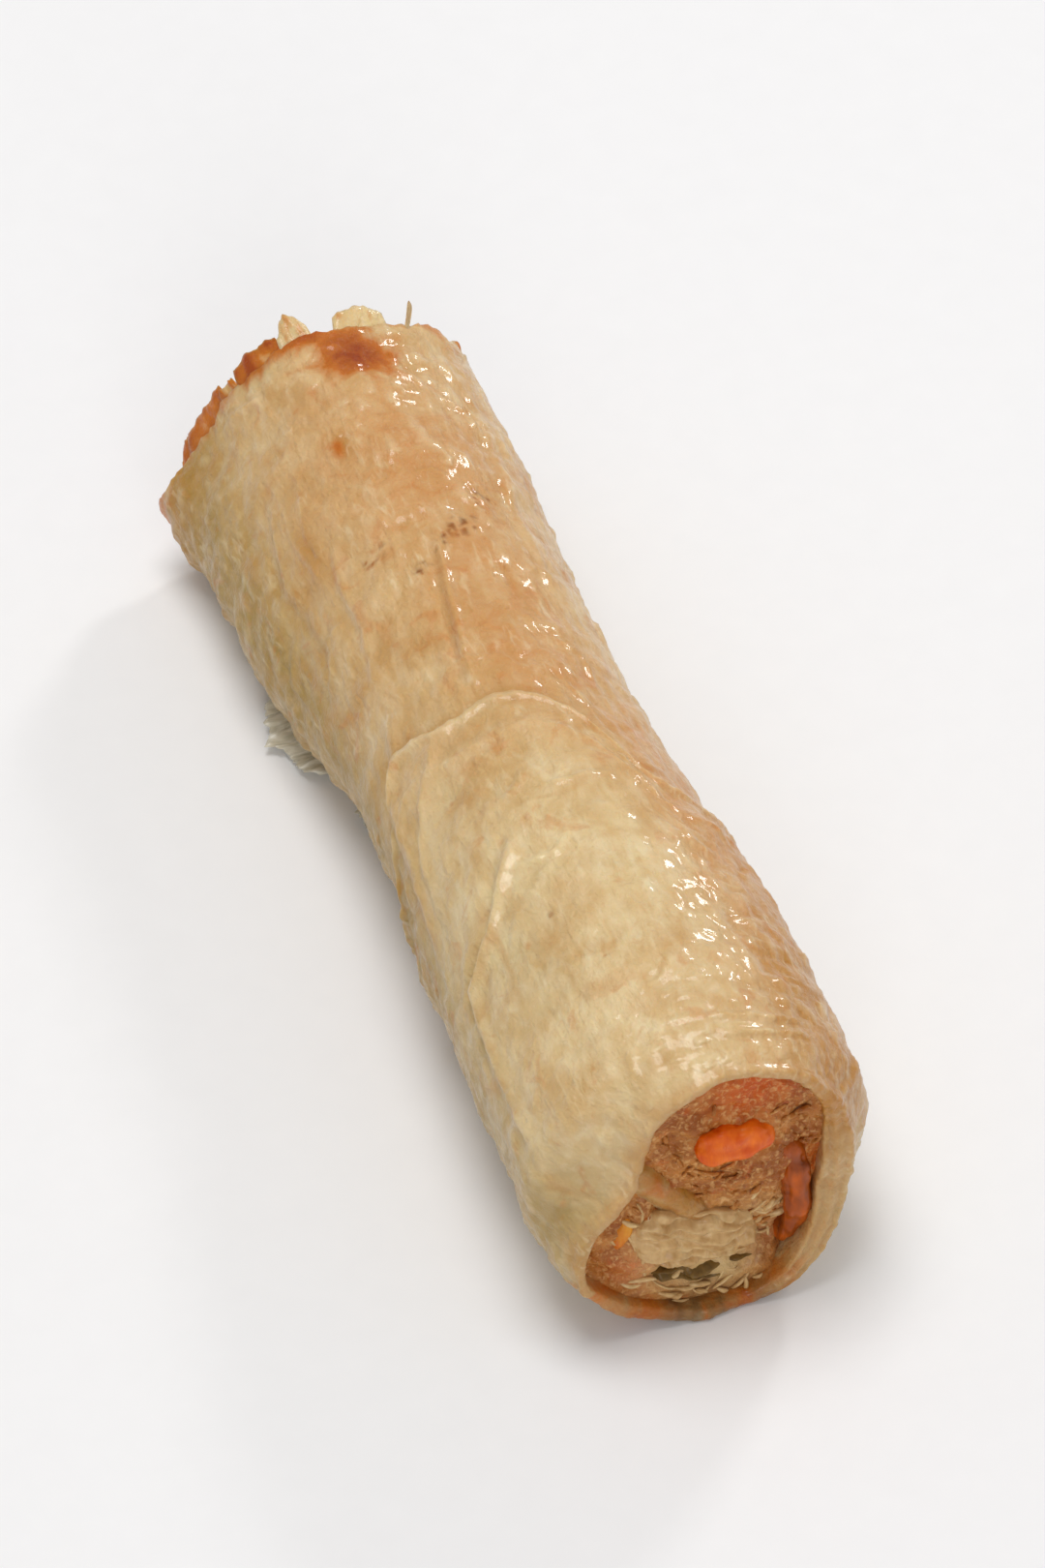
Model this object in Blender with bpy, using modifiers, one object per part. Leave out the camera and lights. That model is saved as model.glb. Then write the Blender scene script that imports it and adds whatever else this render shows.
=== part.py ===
"""A fried spring roll lying on its side: rice paper rolled round a minced filling with cut vegetables,
open at both ends.

Frame: metres, +Z up, the roll's length along Y with the fuller open end at -Y, and the origin at the
middle of the roll's footprint on the surface that it lies on.

Places on the roll are given as a share `along` of its length, from 0 at the back rim (+Y) to 1 at the
front rim (-Y), and an angle `around` its axis, from 0 at the +X side through a quarter turn at the top.
"""

import math

import bmesh
import bpy
from mathutils import Matrix, Vector

MM = 0.001

# Driving dimensions
ROLL_LENGTH = 119.0 * MM
BACK_RADIUS = 15.5 * MM
FRONT_SWELL = 2.1 * MM  # how much fuller the front end is
LAYER_STEP = 0.8 * MM  # one more turn of paper, over the front half
LUMP_HEIGHT = 0.35 * MM
SAG = 1.1 * MM  # how far the roll sinks, which makes its flat foot
CLEARANCE = 0.5 * MM  # kept between neighbouring pieces

# The paper's wall, thickest on the front end's +X side, where more turns lie together
WALL = 1.5 * MM
WALL_FRONT_EXTRA = 2.5 * MM
THICK_SIDE_ANGLE, THICK_SIDE_WIDTH = -12, 80
THICK_FOOT_ANGLE, THICK_FOOT_WIDTH = 262, 60
THICK_FOOT_SHARE = 0.45  # of the front extra, under the roll

# The edge of the outermost turn: shares along the roll, and degrees around it
SEAM_ON_TOP = 0.47
SEAM_ON_SIDES = 0.60
SEAM_TOP_ANGLE = 108
SEAM_TOP_HALF_WIDTH = (20, 50)  # within the first angle it lies on top, beyond the second on the sides

# The front lip, curled inwards
LIP_REACH = 8.0 * MM
LIP_CURL = 0.8 * MM
SIDE_CURL = 3.2 * MM  # more on the +X side
SIDE_ANGLE, SIDE_WIDTH = -5, 72
FLAP_CURL = 6.2 * MM  # and most of all on the upper -X side, where the paper is folded in
FLAP_ANGLE, FLAP_WIDTH = 152, 62

# Loose paper splayed at the back, low on the -X side, with a pointed ear at its rim
SKIRT_FLARE = 4.6 * MM
SKIRT_LENGTH = 0.38  # as a share of the roll's length
SKIRT_ANGLE, SKIRT_WIDTH = 204, 52
EAR_FLARE = 1.4 * MM
EAR_LENGTH = 0.09
EAR_ANGLE, EAR_WIDTH = 197, 26
RIM_RAGGEDNESS = 1.1 * MM

# The filling
CORE_FRONT_RECESS = 3.0 * MM
TROUGH_DEPTH = 1.4 * MM  # how much deeper its front face lies, low on the -X side
CORE_BACK_RECESS = 4.0 * MM
CORE_RELIEF = 0.5 * MM
CORE_ROUNDING = 1.4 * MM  # of its end faces' edges
CORE_FACE_SHARE = 0.25  # share of its rings on each end face

# Mesh density
AROUND_SEGMENTS = 48
ALONG_SEGMENTS = 30
CORE_AROUND = 36
CORE_RINGS = 24

TURN = 2 * math.pi


def clear_scene():
    """Removes every object of the scene."""
    for obj in list(bpy.data.objects):
        bpy.data.objects.remove(obj, do_unlink=True)


def new_collection(name):
    """Makes a collection in the scene."""
    collection = bpy.data.collections.new(name)
    bpy.context.scene.collection.children.link(collection)
    return collection


def new_material(name, colour, roughness):
    """Makes a plain Principled material."""
    material = bpy.data.materials.new(name)
    material.use_nodes = True
    shader = material.node_tree.nodes["Principled BSDF"]
    shader.inputs["Base Color"].default_value = (*colour, 1.0)
    shader.inputs["Roughness"].default_value = roughness
    shader.inputs["Metallic"].default_value = 0.0
    material.diffuse_color = (*colour, 1.0)
    return material


def add_object(name, bm, material, collection):
    """Turns a bmesh into a smooth-shaded object with one material."""
    bmesh.ops.recalc_face_normals(bm, faces=bm.faces)
    mesh = bpy.data.meshes.new(name)
    bm.to_mesh(mesh)
    bm.free()
    mesh.shade_smooth()
    mesh.materials.append(material)
    obj = bpy.data.objects.new(name, mesh)
    collection.objects.link(obj)
    return obj


def smooth_step(low, high, value):
    """0 below low, 1 above high, and an S-shaped rise between them."""
    share = min(1.0, max(0.0, (value - low) / (high - low)))
    return share * share * (3 - 2 * share)


def angle_gap(around, centre_degrees):
    """The smallest angle between two places around the roll."""
    return abs((around - math.radians(centre_degrees) + math.pi) % TURN - math.pi)


def bump_at(around, centre_degrees, width_degrees):
    """A smooth bump round the roll: 1 at its centre, and 0 further than its width away."""
    return 1 - smooth_step(0, math.radians(width_degrees), angle_gap(around, centre_degrees))


def layer_edge(around):
    """Where along the roll the outermost turn of paper starts: nearest the back on top."""
    low, high = (math.radians(degrees) for degrees in SEAM_TOP_HALF_WIDTH)
    side_share = smooth_step(low, high, angle_gap(around, SEAM_TOP_ANGLE))
    return SEAM_ON_TOP + (SEAM_ON_SIDES - SEAM_ON_TOP) * side_share


def lumps(along, around):
    """Slow unevenness of the rolled paper, from -1 to 1."""
    return (
        0.40 * math.sin(2 * around + 7.0 * along + 0.6)
        + 0.34 * math.sin(3 * around - 11.0 * along + 2.1)
        + 0.26 * math.sin(5 * around + 17.0 * along + 4.0)
    )


def body_radius(along):
    """The roll's radius without its local features."""
    return BACK_RADIUS + FRONT_SWELL * smooth_step(0.3, 0.9, along)


def axis_height(along):
    """The height of the roll's axis, which keeps its foot on the surface."""
    return body_radius(along) + LAYER_STEP * smooth_step(0.4, 0.7, along) - SAG


def wall_share(along, around):
    """How much of the wall's front extra is there: most at the front, on the +X side and below."""
    side = bump_at(around, THICK_SIDE_ANGLE, THICK_SIDE_WIDTH)
    foot = THICK_FOOT_SHARE * bump_at(around, THICK_FOOT_ANGLE, THICK_FOOT_WIDTH)
    return min(1.0, side + foot) * smooth_step(0.55, 0.95, along)


def front_curl(along, around):
    """How far the front lip is curled in."""
    from_front = (1 - along) * ROLL_LENGTH
    lip = (1 - smooth_step(0, 1, from_front / LIP_REACH)) ** 1.5
    side = SIDE_CURL * bump_at(around, SIDE_ANGLE, SIDE_WIDTH)
    flap = FLAP_CURL * bump_at(around, FLAP_ANGLE, FLAP_WIDTH)
    return lip * (LIP_CURL + side + flap)


def wrapper_radius(along, around):
    """The radius of the paper's outer surface."""
    radius = body_radius(along) + LUMP_HEIGHT * lumps(along, around)
    radius += LAYER_STEP * smooth_step(-0.015, 0.015, along - layer_edge(around))
    skirt = 1 - smooth_step(0.5 * SKIRT_LENGTH, SKIRT_LENGTH * 1.2, along)
    radius += SKIRT_FLARE * skirt * bump_at(around, SKIRT_ANGLE, SKIRT_WIDTH)
    ear = 1 - smooth_step(0.0, EAR_LENGTH, along)
    radius += EAR_FLARE * ear * bump_at(around, EAR_ANGLE, EAR_WIDTH)
    return radius - front_curl(along, around)


def rim_offset(around, phase):
    """How far a ragged rim runs past or short of a plain cut."""
    waves = math.sin(3 * around + phase) + 0.7 * math.sin(7 * around + 2 * phase)
    return RIM_RAGGEDNESS * (waves + 0.5 * math.sin(11 * around - phase)) / 2.2


def wrapper_point(along, around):
    """A point of the paper's outer surface, flattened where it rests."""
    radius = wrapper_radius(along, around)
    back = ROLL_LENGTH / 2 + rim_offset(around, 0.8)
    front = -ROLL_LENGTH / 2 + rim_offset(around, 2.3)
    x = radius * math.cos(around)
    z = axis_height(along) + radius * math.sin(around)
    return Vector((x, back + (front - back) * along, max(0.0, z)))


def crowd_to_ends(share):
    """Moves evenly spaced stations towards both ends, where the rims need them."""
    return share - 0.09 * math.sin(TURN * share)


def make_wrapper(material, collection):
    """The rolled rice paper: an open tube, formed along its length, with Solidify for its wall."""
    bm = bmesh.new()
    turned = Matrix.Rotation(math.pi / 2, 4, "X")
    bmesh.ops.create_cone(
        bm,
        cap_ends=False,
        segments=AROUND_SEGMENTS,
        radius1=1.0,
        radius2=1.0,
        depth=1.0,
        matrix=turned,
    )
    lengthwise = [e for e in bm.edges if abs(e.verts[0].co.y - e.verts[1].co.y) > 0.5]
    bmesh.ops.subdivide_edges(bm, edges=lengthwise, cuts=ALONG_SEGMENTS - 1, use_grid_fill=True)
    bm.verts.index_update()
    walls = []
    for vertex in bm.verts:
        along = crowd_to_ends(0.5 - vertex.co.y)
        around = math.atan2(vertex.co.z, vertex.co.x) % TURN
        vertex.co = wrapper_point(along, around)
        walls.append(wall_share(along, around))
    wrapper = add_object("rice_paper_wrapper", bm, material, collection)
    turns = wrapper.vertex_groups.new(name="extra_turns")
    for index, share in enumerate(walls):
        turns.add([index], share, "REPLACE")
    shell = wrapper.modifiers.new("Wall", "SOLIDIFY")
    shell.thickness = WALL + WALL_FRONT_EXTRA
    shell.offset = -1
    shell.vertex_group = turns.name
    shell.thickness_vertex_group = WALL / (WALL + WALL_FRONT_EXTRA)
    return wrapper


def front_face_depth(x, height):
    """How far behind the front rim the filling's face lies, x and height being from the roll's axis."""
    lean = (0.5 * x + height) / BACK_RADIUS
    return CORE_FRONT_RECESS + TROUGH_DEPTH * (1 - smooth_step(-0.7, 0.35, lean))


def core_point(direction):
    """Maps a point of the unit sphere to the filling: a blunt, uneven face at each end and long sides."""
    around = math.atan2(direction.z, direction.x) % TURN
    share = math.acos(max(-1.0, min(1.0, direction.y))) / math.pi
    back = ROLL_LENGTH / 2 - CORE_BACK_RECESS
    front = -ROLL_LENGTH / 2 + CORE_FRONT_RECESS + TROUGH_DEPTH
    fullness = min(1.0, share / CORE_FACE_SHARE, (1 - share) / CORE_FACE_SHARE)
    rounding = CORE_ROUNDING * (1 - math.sqrt(1 - fullness**4))
    if share <= CORE_FACE_SHARE:
        y = back - rounding
    elif share >= 1 - CORE_FACE_SHARE:
        y = front + rounding
    else:
        side_share = (share - CORE_FACE_SHARE) / (1 - 2 * CORE_FACE_SHARE)
        y = back - CORE_ROUNDING + (front - back + 2 * CORE_ROUNDING) * side_share
    along = 0.5 - y / ROLL_LENGTH
    wall = WALL + WALL_FRONT_EXTRA * wall_share(along, around)
    room = body_radius(along) - wall - front_curl(along, around) - LUMP_HEIGHT
    radius = (room - CLEARANCE) * fullness
    x = radius * math.cos(around)
    z = axis_height(along) + radius * math.sin(around)
    relief = math.sin(420 * x + 1.0) * math.sin(510 * z + 0.4) + 0.5 * math.sin(900 * x - 700 * z)
    y += CORE_RELIEF * relief * (1 - fullness**3)
    if share >= 1 - CORE_FACE_SHARE:
        depth = front_face_depth(x, z - axis_height(along))
        y -= (CORE_FRONT_RECESS + TROUGH_DEPTH - depth) * (1 - fullness**6)
    return Vector((x, y, max(wall + CLEARANCE, z)))


def make_filling(material, collection):
    """The minced filling, which runs through the roll from end to end."""
    bm = bmesh.new()
    turned = Matrix.Rotation(math.pi / 2, 4, "X")
    bmesh.ops.create_uvsphere(
        bm, u_segments=CORE_AROUND, v_segments=CORE_RINGS, radius=1.0, matrix=turned
    )
    for vertex in bm.verts:
        vertex.co = core_point(vertex.co.normalized())
    return add_object("minced_filling", bm, material, collection)


def make_cut_piece(name, size, centre, tilt_degrees, material, collection):
    """A cut vegetable piece: a coarse block, tapered, bowed and rounded by Subdivision Surface.

    size is its width (X), depth (Y) and height (Z) before it is tilted in the plane of the roll's mouth.
    """
    bm = bmesh.new()
    bmesh.ops.create_cube(bm, size=1.0)
    tall = [e for e in bm.edges if abs(e.verts[0].co.z - e.verts[1].co.z) > 0.5]
    bmesh.ops.subdivide_edges(bm, edges=tall, cuts=2, use_grid_fill=True)
    bow = 0.10 * size.z
    for vertex in bm.verts:
        share = vertex.co.z * 2
        taper = 1 - 0.15 * share * share
        x = vertex.co.x * size.x * taper + bow * (1 - share * share)
        vertex.co = Vector((x, vertex.co.y * size.y * taper, vertex.co.z * size.z))
    place = Matrix.Translation(centre) @ Matrix.Rotation(math.radians(tilt_degrees), 4, "Y")
    bmesh.ops.transform(bm, matrix=place, verts=bm.verts)
    piece = add_object(name, bm, material, collection)
    rounding = piece.modifiers.new("Rounding", "SUBSURF")
    rounding.levels = rounding.render_levels = 2
    return piece


def stand_on_origin(objects, footprint):
    """Shifts all the objects sideways, so that the middle of the footprint object is at the origin."""
    places = [vertex.co for vertex in footprint.data.vertices]
    middle_x = (min(p.x for p in places) + max(p.x for p in places)) / 2
    middle_y = (min(p.y for p in places) + max(p.y for p in places)) / 2
    for obj in objects:
        obj.data.transform(Matrix.Translation((-middle_x, -middle_y, 0.0)))


def main():
    """Builds the roll."""
    clear_scene()
    parts = new_collection("fried_spring_roll")
    paper = new_material("fried_rice_paper", (0.62, 0.45, 0.24), 0.42)
    mince = new_material("minced_filling", (0.42, 0.22, 0.12), 0.45)
    carrot = new_material("cooked_carrot", (0.75, 0.20, 0.02), 0.35)
    cabbage = new_material("cooked_cabbage", (0.66, 0.52, 0.28), 0.35)
    mushroom = new_material("wood_ear_mushroom", (0.07, 0.05, 0.03), 0.30)

    wrapper = make_wrapper(paper, parts)
    make_filling(mince, parts)

    # Each piece lies just in front of the filling: name, size, its centre in the plane of the mouth
    # from the roll's axis, and its tilt in that plane
    mouth_axis = axis_height(1.0)
    pieces = (
        ("carrot_chunk", (6.6, 2.6, 8.4), (1.8, 5.8), 74, carrot),
        ("carrot_strip", (3.6, 2.6, 14.0), (6.9, -4.2), -4, carrot),
        ("carrot_shred", (2.8, 2.8, 5.6), (-10.0, -4.6), 20, carrot),
        ("cabbage_strip", (6.0, 3.2, 12.6), (-2.0, -6.6), -78, cabbage),
        ("mushroom_sliver", (3.0, 3.0, 11.0), (-1.2, -11.6), -84, mushroom),
    )
    for name, size, place, tilt_degrees, material in pieces:
        grown = Vector(size) * MM
        x, height = place[0] * MM, place[1] * MM
        gap = 1.6 * CORE_RELIEF + CLEARANCE + grown.y / 2
        y = -ROLL_LENGTH / 2 + front_face_depth(x, height) - gap
        centre = Vector((x, y, mouth_axis + height))
        make_cut_piece(name, grown, centre, tilt_degrees, material, parts)

    stand_on_origin(parts.objects, wrapper)


main()
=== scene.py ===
"""Looks of a fried spring roll: rice paper rolled round a minced filling, lying on its side.

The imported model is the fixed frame: metres, +Z up, the roll's length along Y, its fuller open end at -Y.
A place on the roll is its y and an angle `around` the roll's axis, from 0 at the +X side through a
quarter turn at the top. `along` is a share of the length, from 0 at the back rim to 1 at the front rim.
"""

import logging
import math
from dataclasses import dataclass, field
from enum import Enum

import bmesh
import bpy
import numpy as np
from mathutils import Matrix, Vector


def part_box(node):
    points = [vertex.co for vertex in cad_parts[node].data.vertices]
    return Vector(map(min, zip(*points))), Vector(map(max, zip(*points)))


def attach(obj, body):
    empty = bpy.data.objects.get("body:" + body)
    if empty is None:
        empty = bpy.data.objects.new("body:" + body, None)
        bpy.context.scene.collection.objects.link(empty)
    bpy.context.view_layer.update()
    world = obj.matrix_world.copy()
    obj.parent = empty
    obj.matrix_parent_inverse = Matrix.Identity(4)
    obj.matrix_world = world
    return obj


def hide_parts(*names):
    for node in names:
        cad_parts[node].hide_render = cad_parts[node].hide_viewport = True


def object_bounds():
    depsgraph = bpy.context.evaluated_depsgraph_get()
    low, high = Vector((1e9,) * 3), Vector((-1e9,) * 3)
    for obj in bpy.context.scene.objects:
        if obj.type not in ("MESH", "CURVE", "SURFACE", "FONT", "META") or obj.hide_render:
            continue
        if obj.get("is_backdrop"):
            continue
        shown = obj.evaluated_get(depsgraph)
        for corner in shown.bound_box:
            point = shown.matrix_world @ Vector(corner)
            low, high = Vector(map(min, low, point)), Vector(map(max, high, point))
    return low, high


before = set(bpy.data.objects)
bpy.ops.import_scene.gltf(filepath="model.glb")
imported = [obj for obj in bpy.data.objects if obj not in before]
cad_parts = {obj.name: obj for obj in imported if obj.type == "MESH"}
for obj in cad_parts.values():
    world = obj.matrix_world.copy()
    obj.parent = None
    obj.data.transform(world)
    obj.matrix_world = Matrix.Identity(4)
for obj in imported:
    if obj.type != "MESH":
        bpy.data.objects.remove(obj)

MM = 0.001
TURN = 2 * math.pi
WRAPPER = "rice_paper_wrapper"
FILLING = "minced_filling"

# The paper's lowest points stay this high over the surface that the roll lies on.
LOWEST = 0.02 * MM

Array = np.ndarray
Pair = tuple[float, float]
Triple = tuple[float, float, float]
Socket = bpy.types.NodeSocket

log = logging.getLogger("spring_roll")


def smooth_step(low: float, high: float, value: Array) -> Array:
    """An S-shaped rise from 0 at low to 1 at high."""
    share = np.clip((value - low) / (high - low), 0.0, 1.0)
    return share * share * (3 - 2 * share)


def gap_round(angle: Array, centre: float, whole: float = TURN) -> Array:
    """The angle from a centre, the short way round; whole is a full turn in the angle's units."""
    return (angle - centre + whole / 2) % whole - whole / 2


def bump_at(around: Array, centre_degrees: float, width_degrees: float) -> Array:
    """A smooth bump round the roll: 1 at its centre, and 0 further than its width away."""
    gap = np.abs(gap_round(around, math.radians(centre_degrees)))
    return 1 - smooth_step(0, math.radians(width_degrees), gap)


def hump(gap: Array, width: float) -> Array:
    """A bell-shaped hump: 1 where the gap is 0, and almost 0 from twice the width away."""
    return np.exp(-((gap / width) ** 2))


def spots(x: Array, height: Array, table: tuple[tuple[float, ...], ...]) -> Array:
    """Soft round spots on an end face, added up.

    Args:
        x: sideways from the roll's axis, in millimetres.
        height: up from it, in millimetres.
        table: each spot's strength, middle x, middle height and reach, in millimetres.

    Returns:
        The spots' sum at each place.
    """
    total = np.zeros(x.shape)
    for strength, at_x, at_height, reach in table:
        total += strength * np.exp(-((x - at_x) ** 2 + (height - at_height) ** 2) / reach**2)
    return total


def srgb(red: int, green: int, blue: int) -> tuple[float, ...]:
    """The linear colour of a screen colour given as 0 to 255.

    Args:
        red: its red.
        green: its green.
        blue: its blue.

    Returns:
        Red, green, blue and alpha, as shares.
    """
    shares = (red / 255, green / 255, blue / 255)
    linear = (c / 12.92 if c <= 0.04045 else ((c + 0.055) / 1.055) ** 2.4 for c in shares)
    return (*linear, 1.0)


class GradientNoise:
    """Seeded smooth noise in space, worked out for whole arrays of points at once."""

    def __init__(self, seed: int) -> None:
        """Draws the lattice's order and slopes.

        Args:
            seed: picks one noise among many.
        """
        rng = np.random.default_rng(seed)
        self.order = rng.permutation(256)
        slopes = rng.normal(size=(256, 3))
        self.slopes = slopes / np.linalg.norm(slopes, axis=1, keepdims=True)

    def at(self, points: Array) -> Array:
        """The noise at points.

        Args:
            points: an array whose last axis holds x, y and z, in units of the noise's grain.

        Returns:
            Values from about -1 to 1, in the shape of the points without their last axis.
        """
        cell = np.floor(points).astype(int)
        local = points - cell
        fade = local**3 * (local * (local * 6 - 15) + 10)
        total = np.zeros(points.shape[:-1])
        for corner in np.ndindex(2, 2, 2):
            step = np.array(corner)
            at = (cell + step) & 255
            index = self.order[(at[..., 0] + self.order[(at[..., 1] + self.order[at[..., 2]]) & 255]) & 255]
            slope = np.einsum("...i,...i->...", self.slopes[index], local - step)
            weight = np.prod(np.where(step == 1, fade, 1 - fade), axis=-1)
            total += slope * weight
        return total * 1.6

    def fractal(self, points: Array, octaves: int = 3, gain: float = 0.5) -> Array:
        """Noise with finer and fainter layers added.

        Args:
            points: as in at().
            octaves: how many layers, each twice as fine as the one before.
            gain: how strong each layer is beside the one before.

        Returns:
            Values from about -1 to 1.
        """
        total, strength, whole = np.zeros(points.shape[:-1]), 1.0, 0.0
        for octave in range(octaves):
            total += strength * self.at(points * 2**octave + 17.3 * octave)
            whole += strength
            strength *= gain
        return total / whole


@dataclass(frozen=True)
class RollForm:
    """The roll's overall form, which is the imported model's, in metres.

    A field that ends in _arc is a stretch round the roll: its middle and its half-width, in degrees.
    """

    length: float
    axis_x: float = 1.04 * MM
    back_radius: float = 15.5 * MM
    front_swell: float = 2.1 * MM
    layer_step: float = 0.8 * MM
    lump_height: float = 0.35 * MM
    sag: float = 1.1 * MM
    wall: float = 1.5 * MM
    wall_front_extra: float = 2.5 * MM
    lip_reach: float = 8.0 * MM
    lip_curl: float = 0.8 * MM
    side_curl: float = 3.2 * MM
    flap_curl: float = 6.2 * MM
    skirt_flare: float = 4.6 * MM
    skirt_length: float = 0.38
    ear_flare: float = 1.4 * MM
    ear_length: float = 0.09
    foot_gap: float = 0.1 * MM
    thick_side_arc: Pair = (-12, 80)
    thick_foot_arc: Pair = (262, 60)
    side_arc: Pair = (-5, 72)
    lip_arc: Pair = (262, 48)
    flap_arc: Pair = (152, 62)
    skirt_arc: Pair = (204, 52)
    ear_arc: Pair = (197, 26)

    @classmethod
    def from_frame(cls) -> "RollForm":
        """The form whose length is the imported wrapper's, less what its ragged rims add.

        Returns:
            The form.
        """
        low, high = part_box(WRAPPER)
        ragged_rims = 1.67 * MM
        return cls(length=high[1] - low[1] - ragged_rims)

    @property
    def middle_radius(self) -> float:
        """The radius half-way along, for turning angles into lengths."""
        return self.back_radius + self.front_swell / 2

    def along(self, y: Array) -> Array:
        """The share of the length at y."""
        return 0.5 - y / self.length

    def y_at(self, along: Array) -> Array:
        """The y at a share of the length."""
        return (0.5 - along) * self.length

    def body_radius(self, along: Array) -> Array:
        """The radius without local features."""
        return self.back_radius + self.front_swell * smooth_step(0.3, 0.9, along)

    def axis_height(self, along: Array) -> Array:
        """The axis's height, which keeps the roll's foot on the surface."""
        return self.body_radius(along) + self.layer_step * smooth_step(0.4, 0.7, along) - self.sag

    def wall_share(self, along: Array, around: Array) -> Array:
        """How much of the wall's front extra is there."""
        thick = bump_at(around, *self.thick_side_arc) + 0.45 * bump_at(around, *self.thick_foot_arc)
        return np.minimum(1.0, thick) * smooth_step(0.55, 0.95, along)

    def wall_at(self, along: Array, around: Array) -> Array:
        """The thickness of all the turns of paper together."""
        return self.wall + self.wall_front_extra * self.wall_share(along, around)

    def front_curl(self, along: Array, around: Array) -> Array:
        """How far the front lip is curled in.

        Args:
            along: shares of the length.
            around: angles round it.

        Returns:
            Distances towards the axis, in metres.
        """
        from_front = (1 - along) * self.length
        lip = (1 - smooth_step(0, 1, from_front / self.lip_reach)) ** 1.5
        side = self.side_curl * bump_at(around, *self.side_arc)
        flap = self.flap_curl * bump_at(around, *self.flap_arc)
        return lip * (self.lip_curl + side + flap)

    def lumps(self, along: Array, around: Array) -> Array:
        """Slow unevenness of the rolled paper, from -1 to 1.

        Args:
            along: shares of the length.
            around: angles round it.

        Returns:
            The unevenness at each place.
        """
        return (
            0.40 * np.sin(2 * around + 7.0 * along + 0.6)
            + 0.34 * np.sin(3 * around - 11.0 * along + 2.1)
            + 0.26 * np.sin(5 * around + 17.0 * along + 4.0)
        )

    def seam(self, around: Array) -> Array:
        """Where along the roll the outermost turn starts, which is the round edge of its sheet.

        Args:
            around: angles round it.

        Returns:
            Shares of the length.
        """
        degrees = np.array([0, 53, 62, 67, 71, 80, 89, 100, 109, 120, 132, 146, 160, 185, 230, 290, 360])
        shares = 0.01 * np.array(
            [66.5, 63.6, 61.8, 58.0, 54.6, 51.5, 49.6, 48.8, 48.9, 49.6, 48.6, 47.6, 52, 58, 60, 66, 66.5]
        )
        even = np.arange(-40, 400)
        table = np.interp(even % 360, degrees, shares)
        soft = hump(np.arange(-12, 13), 5.5)
        table = np.convolve(table, soft / soft.sum(), "same")
        return np.interp(np.degrees(around) % 360, even, table)

    def seam_y(self, around: Array) -> Array:
        """The y where the outermost turn starts."""
        return self.y_at(self.seam(around))

    def radius(self, along: Array, around: Array) -> Array:
        """The radius of the paper under the outermost turn.

        Args:
            along: shares of the length.
            around: angles round it.

        Returns:
            Distances from the axis, in metres.
        """
        radius = self.body_radius(along) + self.lump_height * self.lumps(along, around)
        skirt = 1 - smooth_step(0.5 * self.skirt_length, self.skirt_length * 1.2, along)
        radius = radius + self.skirt_flare * skirt * bump_at(around, *self.skirt_arc)
        ear = 1 - smooth_step(0.0, self.ear_length, along)
        radius = radius + self.ear_flare * ear * bump_at(around, *self.ear_arc)
        return radius - self.front_curl(along, around)

    def point(self, y: Array, around: Array, lift: Array) -> Array:
        """Points at a height over the paper, flattened where the roll rests.

        Args:
            y: places along the roll.
            around: angles round it.
            lift: height over the plain surface.

        Returns:
            An array of points with x, y and z last.
        """
        along = self.along(y)
        radius = self.radius(along, around) + lift
        x = self.axis_x + radius * np.cos(around)
        z = self.axis_height(along) + radius * np.sin(around)
        over = self.layer_step * smooth_step(-0.015, 0.015, along - self.seam(around))
        foot = over - lift + self.foot_gap
        return np.stack(np.broadcast_arrays(x, y, np.maximum(z, foot)), axis=-1)

    def normal(self, y: Array, around: Array, lift: Array) -> Array:
        """The plain surface's outward unit normals, from small steps along and around it.

        Args:
            y: places along the roll.
            around: angles round it.
            lift: height over the plain surface.

        Returns:
            An array of normals with x, y and z last.
        """
        step = 0.2 * MM
        turn = step / self.back_radius
        lengthwise = self.point(y - step, around, lift) - self.point(y + step, around, lift)
        sideways = self.point(y, around + turn, lift) - self.point(y, around - turn, lift)
        normal = np.cross(sideways, lengthwise)
        axis = np.broadcast_arrays(self.axis_x, y, self.axis_height(self.along(y)))
        middle = self.point(y, around, lift) - np.stack(axis, axis=-1)
        normal *= np.sign(np.einsum("...i,...i->...", normal, middle))[..., None]
        return normal / np.linalg.norm(normal, axis=-1, keepdims=True)


class Shade(Enum):
    """The names of the colour masks that a piece keeps on its points."""

    # The toast mask also carries painted shade: in the mince's creases and on the shaded side of the inner
    # fold.
    TOAST_AND_SHADE = "toast"
    PEACH = "peach"
    HONEY = "honey"
    OLIVE = "olive"
    PALE = "pale"
    DARK = "dark"


Masks = dict[Shade, Array]


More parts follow.
